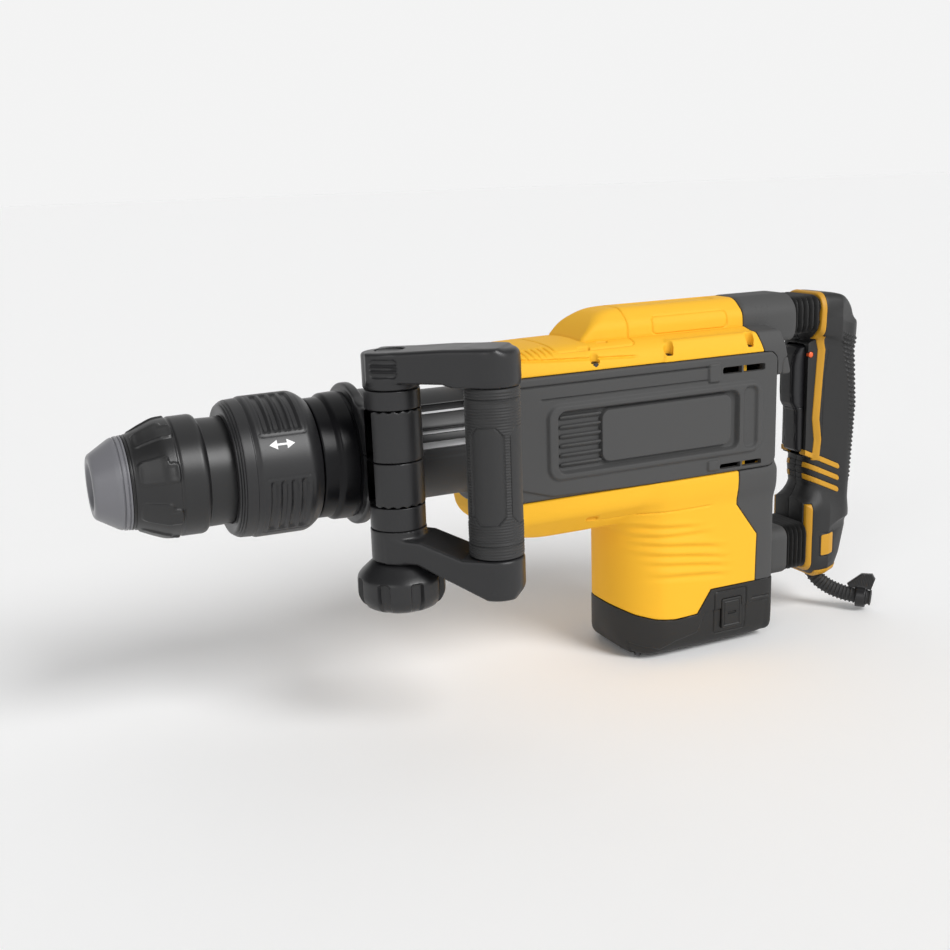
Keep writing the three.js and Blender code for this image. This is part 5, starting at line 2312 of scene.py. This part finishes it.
    def _gaiter(self, name: str, node: str, reach: Pair, heights: Pair, folds: int) -> None:
        """One gaiter: a fold repeated along its length.

        Args:
            name: the piece's name.
            node: the node it replaces.
            reach: front and rear end.
            heights: lower and upper edge.
            folds: number of folds.
        """
        start, end = reach
        low, high = heights
        pitch = (end - start) / folds
        half = 26.5
        section = [(-half, low, 11), (half, low, 11), (half, high, 11), (-half, high, 11)]
        middle = (low + high) / 2
        outline = np.array(soft_outline(section, 3.0)) - (0, middle)
        wave = [(0.0, 0.80), (0.16, 0.83), (0.34, 0.97), (0.5, 1.0), (0.66, 0.97), (0.84, 0.83),
                (1.0, 0.80)]
        skin = [(share, size) for share, size in wave] + [(1.0, 0.72), (0.0, 0.72)]
        points = [
            (start + share * pitch, a * size, middle + b * size)
            for share, size in skin for a, b in outline
        ]
        rows, ring = len(skin), len(outline)
        faces = [
            (i * ring + j, ((i + 1) % rows) * ring + j, ((i + 1) % rows) * ring + (j + 1) % ring,
             i * ring + (j + 1) % ring)
            for i in range(rows) for j in range(ring)
        ]
        host = mesh_object(name, np.array(points), faces)
        grown(host, row_tree(), {
            "Count": folds, "Step": (pitch * MM, 0, 0), "Material": GAITER_RUBBER.material(),
        })
        face_out(host)
        shaded(host, GAITER_RUBBER, 50)
        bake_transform(host)
        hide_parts(node)

    def _springs(self) -> None:
        """The coil springs on the guide rods, inside the gaiters."""
        spans = (("upper_spring", "upper_handle_spring", 602.0, 624.0, self.upper_z),
                 ("lower_spring", "lower_handle_spring", 600.0, 619.0, self.lower_z))
        tree = coil_tree()
        for name, node, start, end, height in spans:
            host = mesh_object(name, np.zeros((0, 3)), [])
            place = to_row([start, 0, height])
            grown(host, tree, {
                "Radius": 9.6 * MM, "Turns": 3.0, "Length": (end - start) * MM,
                "Wire radius": 0.9 * MM, "Place": tuple(place), "Material": STEEL.material(),
            })
            face_out(host)
            shaded(host, STEEL)
            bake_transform(host)
            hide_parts(node)

    # -------------------------------------------------- cable guard
    def _guard(self) -> None:
        """The flexible cable guard: rings threaded on a sleeve."""
        route = [
            (650, 0, -168), (650.3, -0.6, -173), (653, -4.5, -180), (659, -12, -187),
            (668, -22, -192.3), (677, -32, -194.6), (686, -42, -195.5),
        ]
        curve = bpy.data.curves.new("guard_route", "CURVE")
        curve.dimensions = "3D"
        curve.resolution_u = 10
        spline = curve.splines.new("BEZIER")
        spline.bezier_points.add(len(route) - 1)
        for point, spot in zip(spline.bezier_points, route):
            point.co = to_row(spot)
            point.handle_left_type = point.handle_right_type = "AUTO"
        path = bpy.data.objects.new("guard_route", curve)
        bpy.context.scene.collection.objects.link(path)
        work = path.modifiers.new("grow", "NODES")
        work.node_group = ring_tree()
        sizes = {
            "Count": 20, "Sleeve radius": 6.6 * MM, "Ring radius": 6.7 * MM,
            "Ring thickness": 0.85 * MM, "Material": GRIP_RUBBER.material(),
        }
        for item in work.node_group.interface.items_tree:
            if item.in_out == "INPUT" and item.name in sizes:
                work[item.identifier] = sizes[item.name]
        bpy.context.view_layer.update()
        graph = bpy.context.evaluated_depsgraph_get()
        mesh = bpy.data.meshes.new_from_object(path.evaluated_get(graph))
        bpy.data.objects.remove(path)
        made = bpy.data.objects.new("cable_guard_rings", mesh)
        bpy.context.scene.collection.objects.link(made)
        face_out(made)
        shaded(made, GRIP_RUBBER, 60)
        ridden(made, "rear_handle", GRIP_RUBBER, "cable_guard")
        profile = [(-168, 6.2, 0.5), (-168, 12, 1), (-164.5, 12, 1), (-164.5, 6.2, 0.5)]
        collar = turned(
            "guard_collar", profile, GRIP_RUBBER, spacing=1.5, around=96, upright=(650, 0)
        )
        ridden(collar, "rear_handle", GRIP_RUBBER, "cable_guard")

    def _clip(self) -> None:
        """The small clip with a flat tab on the guard."""
        turn = Matrix.Translation((677.5, -32.3, -194.8))
        turn = turn @ Matrix.Rotation(math.radians(-48.8), 4, "Z")
        turn = turn @ Matrix.Rotation(math.radians(3), 4, "Y")

        def shape(x: Array, y: Array, z: Array) -> Array:
            """The band and its tab, in the clip's own frame.

            Args:
                x: distance along the guard.
                y: distance sideways.
                z: distance away from the guard's middle.

            Returns:
                The field.
            """
            about = np.hypot(y, z)
            band = smooth_max(span(x, 0, 9), about - 10.0, 1)
            tab = polygon(x, z, [(-6, 7), (13, 7), (16, 19), (13, 23.5), (3, 22.5), (-9, 11)])
            lines = 0.5 * groove((x + z * 0.4) % 2.4 - 1.2, 1.2) * (z > 12)
            tab = smooth_max(tab, np.abs(y) - 2.6 + lines, 1.0)
            return np.maximum(smooth_min(band, tab, 1.5), 8.5 - about)

        low, high = (-10, -11.5, -11.5), (19, 11.5, 26)
        made = moulded("guard_clip", shape, low, high, 0.6, NYLON, 0.7, turn)
        ridden(made, "rear_handle", NYLON, "cable_clip")


# ---------------------------------------------------------------- inner works
@dataclass
class Works:
    """The mechanism's own solids, which keep their shapes and get worn finishes."""

    finishes: dict[str, tuple[str, ...]] = field(default_factory=lambda: {
        # pale: the hammer tube gets painted light, near-white so the neck slots read as bright as
        # the backdrop through them.
        "pale": ("hammer_tube",),
        "steel": ("tool_holder", "release_spring", "ram", "wrist_pin",
                  "upper_guide_rod", "lower_guide_rod", "clamp_back_screw", "clamp_bolt",
                  "upper_bearing", "lower_bearing", "crank_bearing"),
        "dark": ("beat_piece", "piston", "connecting_rod", "crank_gear", "rotor_shaft",
                 "field_stack"),
        "copper": ("armature_core", "commutator"),
        "carbon": ("left_brush", "right_brush"),
        "nylon": ("cooling_fan", "switch_module"),
    })

    def dress(self) -> None:
        """Gives each carried-over solid its finish."""
        looks = {
            "steel": STEEL, "dark": DARK_STEEL, "copper": COPPER, "carbon": CARBON, "nylon": NYLON,
            "pale": TUBE_PAINTED_LIGHT,
        }
        for look, names in self.finishes.items():
            for name in names:
                self._paint(name, looks[look])

    def _paint(self, name: str, finish: Finish) -> None:
        """Gives one solid its finish.

        Args:
            name: the node's name.
            finish: the finish.
        """
        node = bpy.data.objects[name]
        material = finish.material()
        for index in range(len(node.material_slots)):
            node.material_slots[index].material = material
        if not node.material_slots:
            node.data.materials.append(material)
        log.info("%s: %s", name, finish.name)


# ---------------------------------------------------------------- studio
@dataclass
class Studio:
    """Pale floor, soft light and the camera."""

    azimuth: float = -24.3
    elevation: float = 14.0
    roll: float = 2.1
    place: tuple[float, float, float] = (-0.58035, -0.86452, 0.41050)
    lens: float = 45.44
    horizon: float = 0.9
    zenith: float = 0.17
    sky_foot: float = 0.22
    suns: tuple[tuple[str, float, float, float, float], ...] = (
        ("key", 24.0, 40.0, 2.24, 30.0),
        ("front_fill", -50.0, 30.0, 0.35, 25.0),
        ("back_fill", 150.0, 60.0, 0.5, 70.0),
    )

    def build(self) -> None:
        """Sets up the floor, lights and camera."""
        self._floor()
        self._lights()
        self._camera()
        scene = bpy.context.scene
        scene.view_settings.view_transform = "Standard"

    def _floor(self) -> None:
        """A plain pale floor."""
        work = bmesh.new()
        bmesh.ops.create_circle(work, cap_ends=True, segments=96, radius=40.0)
        mesh = bpy.data.meshes.new("floor")
        work.to_mesh(mesh)
        work.free()
        floor = bpy.data.objects.new("floor", mesh)
        bpy.context.scene.collection.objects.link(floor)
        floor.location.z = min(CAD_BOX[0][2], 0.0) - 0.002
        floor.data.materials.append(FLOOR_PALE.material())

    def _lights(self) -> None:
        """A broad key from the side, two weak fills and a sky that is brightest at its foot."""
        world = bpy.data.worlds.new("studio")
        bpy.context.scene.world = world
        world.use_nodes = True
        nodes = world.node_tree.nodes
        links = world.node_tree.links
        height = nodes.new("ShaderNodeSeparateXYZ")
        links.new(nodes.new("ShaderNodeTexCoord").outputs["Generated"], height.inputs["Vector"])
        fall = nodes.new("ShaderNodeMapRange")
        fall.interpolation_type = "SMOOTHSTEP"
        fall.inputs["From Min"].default_value = self.sky_foot
        fall.inputs["From Max"].default_value = self.sky_foot + 0.35
        fall.inputs["To Min"].default_value = self.horizon
        fall.inputs["To Max"].default_value = self.zenith
        links.new(height.outputs["Z"], fall.inputs["Value"])
        links.new(fall.outputs["Result"], nodes["Background"].inputs["Strength"])
        nodes["Background"].inputs["Color"].default_value = (1, 1, 1, 1)
        for name, azimuth, elevation, strength, angle in self.suns:
            self._sun(name, azimuth, elevation, strength, angle)

    def _sun(
        self, name: str, azimuth: float, elevation: float, strength: float, angle: float
    ) -> None:
        """One distant soft light.

        Args:
            name: the light's name.
            azimuth: where it stands, in degrees from -Y towards +X.
            elevation: its height over the floor, in degrees.
            strength: its irradiance.
            angle: its spread in degrees, softer when wider.
        """
        a, e = math.radians(azimuth), math.radians(elevation)
        toward = Vector((math.sin(a) * math.cos(e), -math.cos(a) * math.cos(e), math.sin(e)))
        data = bpy.data.lights.new(name, "SUN")
        data.energy = strength
        data.angle = math.radians(angle)
        light = bpy.data.objects.new(name, data)
        bpy.context.scene.collection.objects.link(light)
        light.rotation_euler = toward.to_track_quat("Z", "Y").to_euler()

    def _camera(self) -> None:
        """The camera, turned by azimuth, elevation and a slight roll."""
        a, e, r = (math.radians(v) for v in (self.azimuth, self.elevation, self.roll))
        back = Vector((math.sin(a) * math.cos(e), -math.cos(a) * math.cos(e), math.sin(e)))
        right = Vector((math.cos(a), math.sin(a), 0))
        up = back.cross(right)
        level_right = right * math.cos(r) - up * math.sin(r)
        level_up = right * math.sin(r) + up * math.cos(r)
        turn = Matrix((level_right, level_up, back)).transposed().to_4x4()
        data = bpy.data.cameras.new("camera")
        data.lens = self.lens
        data.sensor_width = 36.0
        data.clip_start = 0.01
        camera = bpy.data.objects.new("camera", data)
        bpy.context.scene.collection.objects.link(camera)
        camera.matrix_world = Matrix.Translation(self.place) @ turn
        bpy.context.scene.camera = camera


def main() -> None:
    """Builds the studio and every sub-assembly in order."""
    logging.basicConfig(level=logging.INFO, format="%(message)s", stream=sys.stdout)
    Studio().build()
    for part in (Nose(), Barrel(), SideHandle(), Housings(), RearHandle()):
        log.info("building %s", type(part).__name__)
        part.build()
    Works().dress()


if __name__ == "__main__":
    main()
